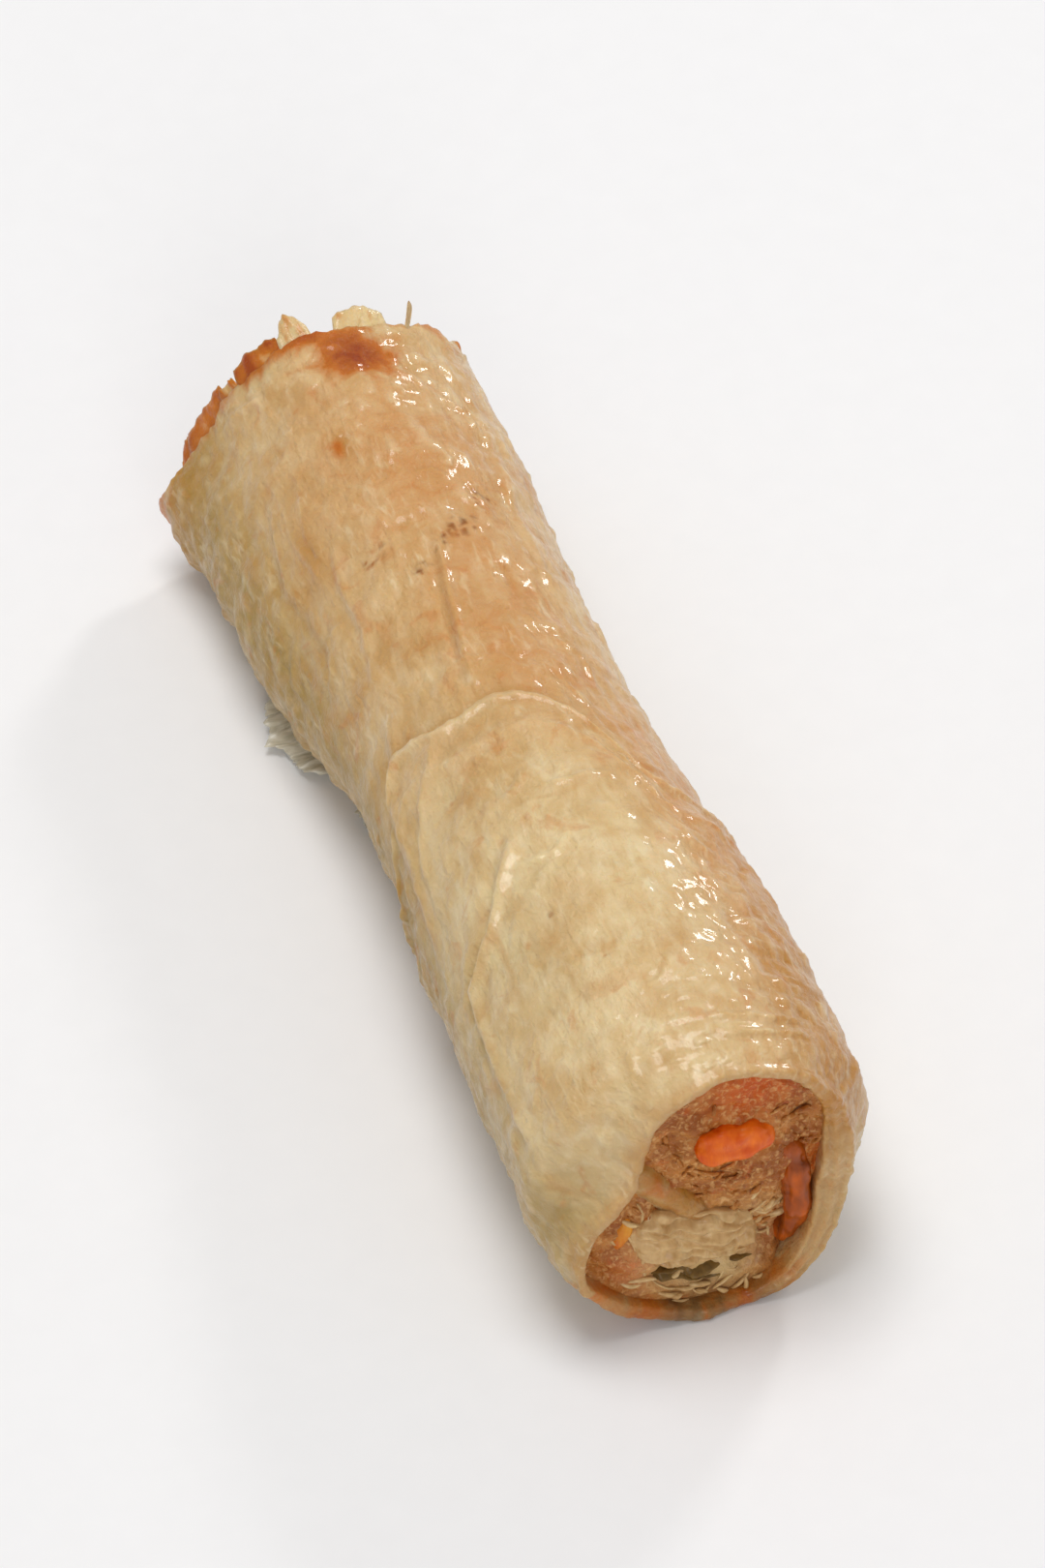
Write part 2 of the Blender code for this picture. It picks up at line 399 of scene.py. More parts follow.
class NodeBench:
    """Builds one material's nodes."""

    def __init__(self, name: str) -> None:
        """Makes the material.

        Args:
            name: the material's name.
        """
        self.material = bpy.data.materials.new(name)
        self.material.use_nodes = True
        self.tree = self.material.node_tree
        self.shader = self.tree.nodes["Principled BSDF"]
        self.place = self.tree.nodes.new("ShaderNodeTexCoord").outputs["Object"]

    def join(self, value: object, socket: Socket) -> None:
        """Links a socket, or sets a plain value.

        Args:
            value: an output socket or a plain value.
            socket: the input socket that takes it.
        """
        if isinstance(value, Socket):
            self.tree.links.new(value, socket)
        else:
            socket.default_value = value

    def stretched(self, scale: Triple) -> Socket:
        """The place on the piece, scaled apart along the axes.

        Args:
            scale: the scale along x, y and z.

        Returns:
            The vector socket.
        """
        node = self.tree.nodes.new("ShaderNodeMapping")
        self.join(self.place, node.inputs["Vector"])
        node.inputs["Scale"].default_value = scale
        return node.outputs["Vector"]

    def noise(
        self, grain: float, detail: float = 3.0, warp: float = 0.0, place: Socket | None = None
    ) -> Socket:
        """Noise of a grain size.

        Args:
            grain: the size of its patches, in metres.
            detail: how many finer layers it has.
            warp: how far it is twisted.
            place: the place it is read at, where that isn't the plain one.

        Returns:
            The factor socket.
        """
        node = self.tree.nodes.new("ShaderNodeTexNoise")
        self.join(place or self.place, node.inputs["Vector"])
        node.inputs["Scale"].default_value = 1 / grain
        node.inputs["Detail"].default_value = detail
        node.inputs["Distortion"].default_value = warp
        return node.outputs["Fac"]

    def cells(self, grain: float, place: Socket | None = None) -> Socket:
        """The distance from the middles of irregular cells of a size.

        Args:
            grain: the cells' size, in metres.
            place: the place it is read at, where that isn't the plain one.

        Returns:
            The distance socket.
        """
        node = self.tree.nodes.new("ShaderNodeTexVoronoi")
        self.join(place or self.place, node.inputs["Vector"])
        node.inputs["Scale"].default_value = 1 / grain
        return node.outputs["Distance"]

    def mask(self, shade: Shade) -> Socket:
        """One of the masks kept on the mesh's points.

        Args:
            shade: which mask.

        Returns:
            The factor socket.
        """
        node = self.tree.nodes.new("ShaderNodeAttribute")
        node.attribute_name = shade.value
        return node.outputs["Fac"]

    def spread(self, value: Socket, low: float, high: float, to: Pair = (0, 1)) -> Socket:
        """A value's range from low to high, clamped and spread over another range.

        Args:
            value: the value.
            low: what becomes the range's start.
            high: what becomes its end.
            to: the new range.

        Returns:
            The result socket.
        """
        node = self.tree.nodes.new("ShaderNodeMapRange")
        self.join(value, node.inputs["Value"])
        node.inputs["From Min"].default_value = low
        node.inputs["From Max"].default_value = high
        node.inputs["To Min"].default_value = to[0]
        node.inputs["To Max"].default_value = to[1]
        return node.outputs["Result"]

    def maths(self, operation: str, first: object, second: object) -> Socket:
        """Joins two values by a maths operation, such as ADD or MULTIPLY.

        Args:
            operation: the operation's name.
            first: the first value or socket.
            second: the second one.

        Returns:
            The result socket.
        """
        node = self.tree.nodes.new("ShaderNodeMath")
        node.operation = operation
        self.join(first, node.inputs[0])
        self.join(second, node.inputs[1])
        return node.outputs[0]

    def mix(self, factor: object, first: object, second: object) -> Socket:
        """Mixes two colours.

        Args:
            factor: the second colour's share.
            first: the first colour.
            second: the second one.

        Returns:
            The colour socket.
        """
        node = self.tree.nodes.new("ShaderNodeMix")
        node.data_type = "RGBA"
        self.join(factor, node.inputs["Factor"])
        self.join(first, node.inputs[6])
        self.join(second, node.inputs[7])
        return node.outputs[2]

    def bump(self, height: Socket, depth: float, under: Socket | None = None) -> Socket:
        """Relief in the shading.

        Args:
            height: its height, from 0 to 1.
            depth: how deep that is, in metres.
            under: the normal that it is added to.

        Returns:
            The normal socket.
        """
        node = self.tree.nodes.new("ShaderNodeBump")
        node.inputs["Strength"].default_value = 1.0
        node.inputs["Distance"].default_value = depth
        self.join(height, node.inputs["Height"])
        if under is not None:
            self.join(under, node.inputs["Normal"])
        return node.outputs["Normal"]

    def finish(
        self, colour: object, roughness: object, normal: Socket, **constants: float
    ) -> bpy.types.Material:
        """Joins everything to the shader.

        Args:
            colour: the base colour.
            roughness: the roughness.
            normal: the normal.
            **constants: the shader's own sockets, with spaces as underscores, set to plain values.

        Returns:
            The material.
        """
        self.join(colour, self.shader.inputs["Base Color"])
        self.join(roughness, self.shader.inputs["Roughness"])
        self.join(normal, self.shader.inputs["Normal"])
        for name, value in constants.items():
            self.shader.inputs[name.replace("_", " ")].default_value = value
        return self.material


@dataclass(frozen=True)
class FriedPaper:
    """Fried rice paper: cream with peach, honey, olive and toasted patches, finely blistered."""

    cream: tuple = srgb(222, 192, 140)
    sand: tuple = srgb(204, 167, 110)
    peach_tone: tuple = srgb(202, 146, 87)
    honey_tone: tuple = srgb(182, 124, 44)
    olive_tone: tuple = srgb(162, 130, 58)
    pale_tone: tuple = srgb(236, 216, 176)
    brown_tone: tuple = srgb(150, 60, 0)
    dark_tone: tuple = srgb(86, 54, 16)
    tan_tone: tuple = srgb(192, 108, 24)

    def material(self) -> bpy.types.Material:
        """Builds the material.

        Returns:
            The material.
        """
        bench = NodeBench("fried_rice_paper")
        patches = bench.noise(7 * MM, 4, 0.6)
        streaks = bench.noise(2.2 * MM, 4, 0.8, bench.stretched((1.0, 0.45, 1.0)))
        colour = bench.mix(bench.spread(patches, 0.38, 0.62), self.sand, self.cream)
        colour = bench.mix(bench.spread(streaks, 0.45, 0.75, (0, 0.55)), colour, self.pale_tone)
        strokes = bench.noise(0.9 * MM, 3, 0.7, bench.stretched((1.0, 0.3, 1.0)))
        broken = bench.noise(3.5 * MM, 4, 1.0)
        tints = (
            (Shade.PEACH, bench.spread(broken, 0.25, 0.6, (0.55, 1)), self.peach_tone),
            (Shade.OLIVE, bench.spread(broken, 0.3, 0.6, (0.6, 1)), self.olive_tone),
            (Shade.HONEY, bench.spread(streaks, 0.3, 0.6, (0.5, 1)), self.honey_tone),
        )
        for shade, patchy, tone in tints:
            colour = bench.mix(bench.maths("MULTIPLY", bench.mask(shade), patchy), colour, tone)
        pale = bench.maths("MULTIPLY", bench.mask(Shade.PALE), 0.45)
        colour = bench.mix(pale, colour, self.pale_tone)
        where = bench.spread(bench.noise(6 * MM, 3, 0.5), 0.42, 0.62)
        light_strokes = bench.maths("MULTIPLY", where, bench.spread(strokes, 0.52, 0.72, (0, 0.42)))
        dark_strokes = bench.maths("MULTIPLY", where, bench.spread(strokes, 0.44, 0.28, (0, 0.28)))
        colour = bench.mix(light_strokes, colour, self.pale_tone)
        colour = bench.mix(dark_strokes, colour, self.honey_tone)
        yellow = bench.noise(5.5 * MM, 3, 0.8, bench.stretched((0.8, 0.6, 1.0)))
        colour = bench.mix(bench.spread(yellow, 0.55, 0.72, (0, 0.38)), colour, self.honey_tone)
        toast = bench.mask(Shade.TOAST_AND_SHADE)
        edge_of_toast = bench.maths("ADD", toast, bench.spread(broken, 0.3, 0.7, (-0.22, 0.22)))
        colour = bench.mix(bench.spread(edge_of_toast, 0.12, 0.45), colour, self.tan_tone)
        colour = bench.mix(bench.spread(edge_of_toast, 0.4, 0.95), colour, self.brown_tone)
        # The dark mask holds the darkest browned specks, and painted shade on the front turn's bottom lip.
        colour = bench.mix(bench.mask(Shade.DARK), colour, self.dark_tone)
        fine = bench.noise(0.45 * MM, 3)
        pits = bench.spread(bench.cells(0.9 * MM), 0.0, 0.7)
        normal = bench.bump(fine, 0.16 * MM)
        normal = bench.bump(pits, 0.06 * MM, normal)
        normal = bench.bump(strokes, 0.18 * MM, normal)
        roughness = bench.spread(bench.noise(1.6 * MM, 3), 0.35, 0.65, (0.34, 0.58))
        return bench.finish(
            colour,
            roughness,
            normal,
            Subsurface_Weight=0.25,
            Subsurface_Radius=(3.0 * MM, 1.7 * MM, 0.8 * MM),
            Subsurface_Scale=1.0,
            Coat_Weight=0.45,
            Coat_Roughness=0.11,
            Specular_IOR_Level=0.22,
        )


@dataclass(frozen=True)
class CookedMince:
    """Cooked mince with glass noodles: pinkish brown, with paler grains, moist."""

    dark: tuple = srgb(156, 86, 28)
    middle: tuple = srgb(196, 128, 60)
    pink: tuple = srgb(230, 180, 116)
    rust: tuple = srgb(206, 86, 10)
    creamy: tuple = srgb(224, 192, 134)
    deep: tuple = srgb(124, 66, 20)

    def material(self) -> bpy.types.Material:
        """Builds the material.

        Returns:
            The material.
        """
        bench = NodeBench("cooked_mince")
        patches = bench.noise(3.2 * MM, 4, 0.8)
        grains = bench.noise(0.55 * MM, 3, 0.5)
        colour = bench.mix(bench.spread(patches, 0.38, 0.66), self.dark, self.middle)
        spots = bench.spread(bench.noise(2.4 * MM, 3), 0.56, 0.7, (0, 0.5))
        rust = bench.maths("ADD", bench.mask(Shade.HONEY), spots)
        colour = bench.mix(bench.spread(rust, 0.1, 1.0, (0, 0.80)), colour, self.rust)
        colour = bench.mix(bench.spread(grains, 0.5, 0.72, (0, 0.75)), colour, self.pink)
        colour = bench.mix(bench.mask(Shade.PALE), colour, self.creamy)
        # The toast mask darkens the mince towards the deep colour: its dark spots, and painted shade in the
        # creases between grains.
        colour = bench.mix(bench.mask(Shade.TOAST_AND_SHADE), colour, self.deep)
        normal = bench.bump(grains, 0.30 * MM)
        normal = bench.bump(bench.noise(0.35 * MM, 2), 0.08 * MM, normal)
        roughness = bench.spread(grains, 0.35, 0.65, (0.30, 0.55))
        return bench.finish(
            colour,
            roughness,
            normal,
            Subsurface_Weight=0.1,
            Subsurface_Radius=(1.6 * MM, 0.9 * MM, 0.4 * MM),
            Subsurface_Scale=1.0,
            Coat_Weight=0.25,
            Coat_Roughness=0.10,
            Specular_IOR_Level=0.12,
        )


@dataclass(frozen=True)
class CookedVegetable:
    """A moist cut vegetable with fibres along its length and a paler or darker core."""

    name: str
    light: tuple
    dark: tuple
    fibre: float = 0.7 * MM
    gloss: float = 0.4

    def material(self) -> bpy.types.Material:
        """Builds the material.

        Returns:
            The material.
        """
        bench = NodeBench(self.name)
        fibres = bench.noise(self.fibre, 3, 0.4, bench.stretched((1.0, 1.0, 0.3)))
        patches = bench.noise(2.5 * MM, 3, 0.5)
        fine = bench.spread(fibres, 0.35, 0.7, (0, 0.4))
        blend = bench.maths("ADD", bench.spread(patches, 0.3, 0.7, (0, 0.6)), fine)
        colour = bench.mix(blend, self.dark, self.light)
        normal = bench.bump(fibres, 0.09 * MM)
        roughness = bench.spread(fibres, 0.3, 0.7, (0.26, 0.46))
        return bench.finish(
            colour,
            roughness,
            normal,
            Subsurface_Weight=0.08,
            Subsurface_Radius=(1.6 * MM, 1.0 * MM, 0.4 * MM),
            Subsurface_Scale=1.0,
            Coat_Weight=self.gloss,
            Coat_Roughness=0.10,
            Specular_IOR_Level=0.12,
        )


@dataclass(frozen=True)
class CrispStarch:
    """A brittle frill of fried starch: whitish, streaked and partly see-through."""

    white: tuple = srgb(238, 234, 220)
    straw: tuple = srgb(222, 212, 182)

    def material(self) -> bpy.types.Material:
        """Builds the material.

        Returns:
            The material.
        """
        bench = NodeBench("crisp_starch")
        streaks = bench.noise(0.9 * MM, 3, 0.6, bench.stretched((0.25, 1.0, 0.4)))
        colour = bench.mix(bench.spread(streaks, 0.35, 0.65), self.straw, self.white)
        normal = bench.bump(streaks, 0.12 * MM)
        solid = bench.spread(streaks, 0.3, 0.6, (0.35, 0.85))
        bench.join(solid, bench.shader.inputs["Alpha"])
        return bench.finish(colour, 0.28, normal, Coat_Weight=0.4, Coat_Roughness=0.15)


def add_object(name: str, data: bpy.types.ID) -> bpy.types.Object:
    """Puts an object with some mesh, lamp or camera data in the scene.

    Args:
        name: the object's name.
        data: what it shows.

    Returns:
        The object.
    """
    obj = bpy.data.objects.new(name, data)
    bpy.context.scene.collection.objects.link(obj)
    return obj


def smooth_object(name: str, built: bmesh.types.BMesh) -> bpy.types.Object:
    """Turns a finished bmesh into a smooth-shaded object.

    Args:
        name: the object's name.
        built: the bmesh, which is freed.

    Returns:
        The object, in the scene.
    """
    mesh = bpy.data.meshes.new(name)
    built.to_mesh(mesh)
    built.free()
    mesh.shade_smooth()
    return add_object(name, mesh)


def make_mesh(name: str, points: Array, faces: Array, masks: Masks | None = None) -> bpy.types.Object:
    """Makes a smooth-shaded object whose faces point outwards.

    Args:
        name: the object's name.
        points: its points, one a row.
        faces: its quads, one a row, as indices of points.
        masks: a value for each point, by mask.

    Returns:
        The object, in the scene.
    """
    corners = points[faces]
    volume = np.einsum("ij,ij->", corners[:, 0], np.cross(corners[:, 1], corners[:, 2]))
    volume += np.einsum("ij,ij->", corners[:, 0], np.cross(corners[:, 2], corners[:, 3]))
    if volume < 0:
        faces = faces[:, ::-1]
    mesh = bpy.data.meshes.new(name)
    mesh.from_pydata(points.tolist(), [], faces.tolist())
    for shade, values in (masks or {}).items():
        layer = mesh.attributes.new(shade.value, "FLOAT", "POINT")
        layer.data.foreach_set("value", np.clip(values, 0, 1).astype(np.float32).ravel())
    mesh.shade_smooth()
    return add_object(name, mesh)


def ring_faces(rows: int, columns: int, closed: bool = True) -> Array:
    """The quads of a grid whose rows are rings.

    Args:
        rows: how many rows of points the grid has.
        columns: how many points a row has.
        closed: whether the last row joins the first.

    Returns:
        The quads, one a row, as indices of points.
    """
    row, column = np.meshgrid(np.arange(rows if closed else rows - 1), np.arange(columns), indexing="ij")
    below, right = (row + 1) % rows, (column + 1) % columns
    first, second = row * columns, below * columns
    quads = np.stack([first + column, first + right, second + right, second + column], -1)
    return quads.reshape(-1, 4)


def close_holes(obj: bpy.types.Object) -> None:
    """Fills an object's open ends and makes its faces point outwards.

    Args:
        obj: the object, whose mesh is changed.
    """
    closing = bmesh.new()
    closing.from_mesh(obj.data)
    bmesh.ops.holes_fill(closing, edges=[edge for edge in closing.edges if edge.is_boundary], sides=0)
    bmesh.ops.recalc_face_normals(closing, faces=closing.faces)
    closing.to_mesh(obj.data)
    closing.free()
    obj.data.shade_smooth()


def sheet_grid(first: tuple[float, float, int], second: tuple[float, float, int]) -> list[Array]:
    """A sheet's two coordinates at the points of a grid, each from its start, end and count."""
    return np.meshgrid(np.linspace(*first), np.linspace(*second), indexing="ij")


def make_leaf(
    name: str, points: Array, thickness: float, shades: dict[Shade, Array | float]
) -> bpy.types.Object:
    """Makes a thin closed sheet from a grid of points on its middle.

    Args:
        name: the object's name.
        points: the grid, as rows by columns by three.
        thickness: the sheet's thickness; its outline is thinner.
        shades: a mask value for the whole sheet or for each grid point.

    Returns:
        The object, in the scene.
    """
    rows, columns = points.shape[:2]
    step_u, step_v = np.gradient(points, axis=0), np.gradient(points, axis=1)
    normal = np.cross(step_u, step_v)
    normal /= np.maximum(np.linalg.norm(normal, axis=-1, keepdims=True), 1e-12)
    row, column = np.meshgrid(np.arange(rows), np.arange(columns), indexing="ij")
    inset = np.minimum.reduce([row, column, rows - 1 - row, columns - 1 - column])
    half = thickness / 2 * np.clip((inset + 0.5) / 2.5, 0.2, 1)[..., None]
    both = np.concatenate([points + normal * half, points - normal * half]).reshape(-1, 3)
    first = (row * columns + column)[:-1, :-1].ravel()
    top = np.stack([first, first + 1, first + columns + 1, first + columns], -1)
    bottom = top[:, ::-1] + rows * columns
    edge = [*range(columns), *range(2 * columns - 1, rows * columns, columns)]
    edge += range(rows * columns - 2, (rows - 1) * columns - 1, -1)
    edge += range((rows - 2) * columns, 0, -columns)
    edge = np.array(edge)
    after = np.roll(edge, -1)
    rim = np.stack([after, edge, edge + rows * columns, after + rows * columns], -1)
    masks = {}
    for shade, value in shades.items():
        values = np.broadcast_to(value, (rows, columns)).ravel()
        masks[shade] = np.concatenate([values, values])
    return make_mesh(name, both, np.concatenate([top, bottom, rim]), masks)


def patch(along: Array, around: Array, at: Pair, size: Pair) -> Array:
    """A soft patch on the paper.

    Args:
        along: shares of the length.
        around: angles round it.
        at: its middle, as (along, degrees).
        size: its half-sizes, as (share of the length, degrees).

    Returns:
        1 at its middle, falling to 0.
    """
    gap = gap_round(np.degrees(around), at[1], 360)
    return np.exp(-(((along - at[0]) / size[0]) ** 2) - (gap / size[1]) ** 2)


@dataclass(frozen=True)
class Fold:
    """A fold line in the paper: its route as (along, degrees), its height and half-width."""

    route: tuple[Pair, ...]
    height: float
    width: float

    def relief(self, form: RollForm, y: Array, around: Array) -> Array:
        """The fold's height over the paper: a ridge with a shallow groove beside it.

        Args:
            form: the roll's form.
            y: places along the roll.
            around: angles round it.

        Returns:
            Heights, in metres.
        """
        radius = form.middle_radius
        best = np.full(np.broadcast(y, around).shape, 1.0)
        fade = np.zeros_like(best)
        places = [(form.y_at(a), math.radians(d)) for a, d in self.route]
        count = len(places) - 1
        for index, ((y0, a0), (y1, a1)) in enumerate(zip(places, places[1:])):
            step = np.array([y1 - y0, (a1 - a0) * radius])
            off_y = y - y0
            off_a = gap_round(around, a0) * radius
            t = np.clip((off_y * step[0] + off_a * step[1]) / (step @ step), 0, 1)
            side = np.sign(off_y * step[1] - off_a * step[0])
            distance = np.hypot(off_y - t * step[0], off_a - t * step[1]) * side
            nearer = np.abs(distance) < np.abs(best)
            best = np.where(nearer, distance, best)
            fade = np.where(nearer, (index + t) / count, fade)
        ends = np.sqrt(np.clip(np.sin(math.pi * np.clip(fade, 0.02, 0.98)), 0, 1))
        ridge = hump(best, self.width)
        groove = 0.55 * hump(best - 1.7 * self.width, self.width)
        return self.height * ends * (ridge - groove)


@dataclass(frozen=True)
class Blisters:
    """Small blown bubbles scattered over the paper."""

    seed: int
    count: int
    smallest: float = 0.3 * MM
    largest: float = 1.2 * MM
    steepness: float = 0.20
    least: float = 0.06
    usual: float = 0.36

    def relief(self, form: RollForm, y: Array, around: Array) -> tuple[Array, Array]:
        """Their height, and a mask of where they are.

        Args:
            form: the roll's form.
            y: places along the roll, one row for each station.
            around: angles round it, one column for each.

        Returns:
            Heights in metres, and a mask from 0 to 1.
        """
        rng = np.random.default_rng(self.seed)
        rows, columns = y.mean(axis=1), around.mean(axis=0)
        height = np.zeros(y.shape)
        mask = np.zeros(y.shape)
        for _ in range(self.count):
            y0 = rng.uniform(rows.min(), rows.max())
            a0 = rng.uniform(0, TURN)
            size = self.smallest * (self.largest / self.smallest) ** (rng.random() ** 1.8)
            stretch = rng.uniform(1.2, 3.0)
            lean = rng.normal(0.0, 0.45)
            chance = rng.random()
            if chance > self.crowding(form.along(y0), a0):
                continue
            reach = size * stretch
            r = np.nonzero(np.abs(rows - y0) < reach)[0]
            gap = gap_round(columns, a0) * form.middle_radius
            c = np.nonzero(np.abs(gap) < reach)[0]
            if not len(r) or not len(c):
                continue
            spot = np.ix_(r, c)
            dy = y[spot] - y0
            da = np.broadcast_to(gap[c], dy.shape)
            u = (dy * math.cos(lean) + da * math.sin(lean)) / stretch
            v = -dy * math.sin(lean) + da * math.cos(lean)
            dome = np.clip(1 - (u * u + v * v) / size**2, 0, 1) ** 1.5
            height[spot] = np.maximum(height[spot], dome * size * self.steepness)
            mask[spot] = np.maximum(mask[spot], dome)
        return height, mask

    def crowding(self, along: float, around: float) -> float:
        """How likely a blister is at a place: most on the upper -X side behind, and on the +X shoulder.

        Args:
            along: a share of the length.
            around: an angle round it.

        Returns:
            The likelihood, from 0 to 1.
        """
        smooth = 0.75 * patch(along, around, (0.40, 78), (0.10, 22))
        crowded = patch(along, around, (0.30, 150), (0.14, 22))
        crowded += patch(along, around, (0.80, 58), (0.16, 14))
        crowded += patch(along, around, (0.08, 45), (0.09, 18))
        return min(1.0, max(self.least, self.usual + (1 - self.usual) * crowded - smooth))


@dataclass
class PaperSheet:
    """A turn of fried rice paper: a thin closed sheet bent round the roll, with ragged, rounded edges."""

    form: RollForm
    name: str = "paper"
    rows: int = 200
    columns: int = 264
    rim_rows: int = 6
    rim_bulge: float = 0.5 * MM
    rim_roundness: float = 0.7
    rim_stations: int = 26
    inner_spacing: int = 9
    seed: int = 1
    noise: GradientNoise = field(init=False)

    def __post_init__(self) -> None:
        """Draws the sheet's own noise."""
        self.noise = GradientNoise(self.seed)

    def back_edge(self, around: Array) -> Array:
        """The y of the sheet's back edge."""
        raise NotImplementedError

    def front_edge(self, around: Array) -> Array:
        """The y of the sheet's front edge."""
        raise NotImplementedError

    def lift(self, y: Array, around: Array) -> Array:
        """How far the sheet lies over the plain form."""
        return np.zeros(np.broadcast(y, around).shape)

    def thickness(self, y: Array, around: Array) -> Array:
        """The sheet's thickness."""
        return np.full(np.broadcast(y, around).shape, 1.0 * MM)

    def relief(self, y: Array, around: Array) -> tuple[Array, Array]:
        """The outer side's relief, and the mask of its blisters."""
        shape = np.broadcast(y, around).shape
        return np.zeros(shape), np.zeros(shape)

    def masks(self, y: Array, around: Array, inside: bool) -> Masks:
        """The colour masks on one side of the sheet."""
        shape = np.broadcast(y, around).shape
        return {shade: np.zeros(shape) for shade in Shade}

    def rim_crease(self, share: float, thickness: Array) -> Array:
        """How deep the rim is creased at a share of the way from its outer to its inner side."""
        return np.zeros(thickness.shape)

    def ring_noise(
        self, around: Array, reach: float, octaves: int = 3, gain: float = 0.5, shift: float = 0.0
    ) -> Array:
        """Noise round the sheet that meets itself after a turn.

        Args:
            around: angles round it.
            reach: how many grains the turn's radius spans, so how fine the noise is.
            octaves: how many layers it has.
            gain: how strong each layer is beside the one before.
            shift: moves it to another part of the noise.

        Returns:
            Values from about -1 to 1.
        """
        places = np.stack([np.cos(around) * reach + shift, np.sin(around) * reach, around * 0], -1)
        return self.noise.fractal(places, octaves, gain)

    def rim_waves(self, around: Array, phase: float) -> Array:
        """The slow waves of a cut rim, from about -2 to 2."""
        broad = np.sin(3 * around + phase) + 0.7 * np.sin(7 * around + 2 * phase)
        return broad + 0.5 * np.sin(11 * around - phase)

    def stations(self) -> Array:
        """Shares of the way from the back edge to the front edge, closer together at the edges."""
        even = np.linspace(0, 1, self.rows)
        return even - 0.08 * np.sin(TURN * even)

    def grain_points(self, points: Array, grain: float) -> Array:
        """The points in units of a grain, for reading noise."""
        return points / grain + self.seed * 3.7

    def rim(self, edge: Array, normal: Array, outwards: Array, thickness: Array) -> list[Array]:
        """Rows of points that round an edge from the outer side to the inner side.

        Args:
            edge: the outer side's last points.
            normal: the outward normals there.
            outwards: unit directions off the sheet.
            thickness: the sheet's thickness there.

        Returns:
            The rows, without the first and the last, which are the two sides' own.
        """
        made = []
        half = thickness[:, None] / 2
        for index in range(1, self.rim_rows):
            share = index / self.rim_rows
            turn = math.pi * share
            bulge = np.minimum(half, self.rim_bulge) * math.sin(turn) ** self.rim_roundness
            crease = self.rim_crease(share, thickness)[:, None]
            made.append(edge - normal * half * (1 - math.cos(turn)) + outwards * (bulge - crease))
        return made

    def build(self) -> bpy.types.Object:
        """Builds the sheet.

        Returns:
            The object, with its masks.
        """
        around = np.linspace(0, TURN, self.columns, endpoint=False)[None, :]
        shares = self.stations()[:, None]
        back, front = self.back_edge(around), self.front_edge(around)
        y = back + (front - back) * shares
        around = np.broadcast_to(around, y.shape)
        lift = self.lift(y, around)
        plain = self.form.point(y, around, lift)
        normal = self.form.normal(y, around, lift)
        height, blown = self.relief(y, around)
        outer = plain + normal * height[..., None]
        thickness = self.thickness(y, around)

        every = np.arange(self.rows)
        close = self.rim_stations
        kept = [*every[:close], *every[close:-close][:: self.inner_spacing], *every[-close:]]
        inner = (plain - normal * thickness[..., None])[kept]

        front_out = outer[-1] - outer[-3]
        back_out = outer[0] - outer[2]
        front_out /= np.linalg.norm(front_out, axis=-1, keepdims=True)
        back_out /= np.linalg.norm(back_out, axis=-1, keepdims=True)
        front_rim = self.rim(outer[-1], normal[-1], front_out, thickness[-1] + height[-1])
        back_rim = self.rim(outer[0], normal[0], back_out, thickness[0] + height[0])

        rows = [*outer, *front_rim, *inner[::-1], *back_rim[::-1]]
        points = np.array(rows)
        points[..., 2] = np.maximum(points[..., 2], LOWEST)

        outer_masks = self.masks(y, around, inside=False)
        inner_masks = self.masks(y[kept], around[kept], inside=True)
        outer_masks[Shade.PALE] = np.maximum(outer_masks[Shade.PALE], 0.6 * blown)
        masks = {}
        for shade in Shade:
            out, into = outer_masks[shade], inner_masks[shade]
            steps = np.linspace(0, 1, self.rim_rows + 1)[1:-1, None]
            front_part = out[-1] + (into[-1] - out[-1]) * steps
            back_part = into[0] + (out[0] - into[0]) * steps
            masks[shade] = np.concatenate([out, front_part, into[::-1], back_part])
        faces = ring_faces(len(points), self.columns)
        flat = {shade: values.ravel() for shade, values in masks.items()}
        return make_mesh(self.name, points.reshape(-1, 3), faces, flat)


# Colour patches on the paper: strength, middle as (along, degrees), and half-sizes in the same units.
PEACH_PATCHES = (
    (0.85, (0.40, 78), (0.13, 26)),
    (0.75, (0.16, 85), (0.12, 50)),
    (0.55, (0.60, 40), (0.12, 22)),
    # This peach patch on the front +X shoulder is painted shadow of a second roll beside this one, which is
    # not built.
    (0.95, (0.86, 32), (0.24, 28)),
    (0.70, (0.78, 54), (0.16, 14)),
)
HONEY_PATCHES = (
    (0.75, (0.22, 141), (0.035, 7)),
    (0.9, (0.133, 109), (0.016, 4.0)),
    # These three honey patches on the front +X shoulder are painted shadow of the same second roll.
    (0.9, (0.97, 34), (0.06, 26)),
    (1.2, (0.94, 44), (0.09, 18)),
    (0.8, (0.88, 30), (0.14, 24)),
    (0.40, (0.845, 86), (0.035, 9)),
    (0.80, (0.0, 196), (0.06, 26)),
)
TOAST_PATCHES = (
    (0.95, (0.038, 87), (0.026, 15)),
    (0.30, (0.0, 112), (0.014, 26)),
    (0.42, (0.136, 111), (0.010, 2.6)),
)
# Middles of the groups of browned specks, and the specks that stand alone, as (along, degrees).
SPECK_GROUPS = ((0.274, 116), (0.303, 101.5), (0.277, 87), (0.266, 76), (0.235, 65), (0.275, 82))
SINGLE_SPECKS = ((0.761, 116), (0.833, 110.5))


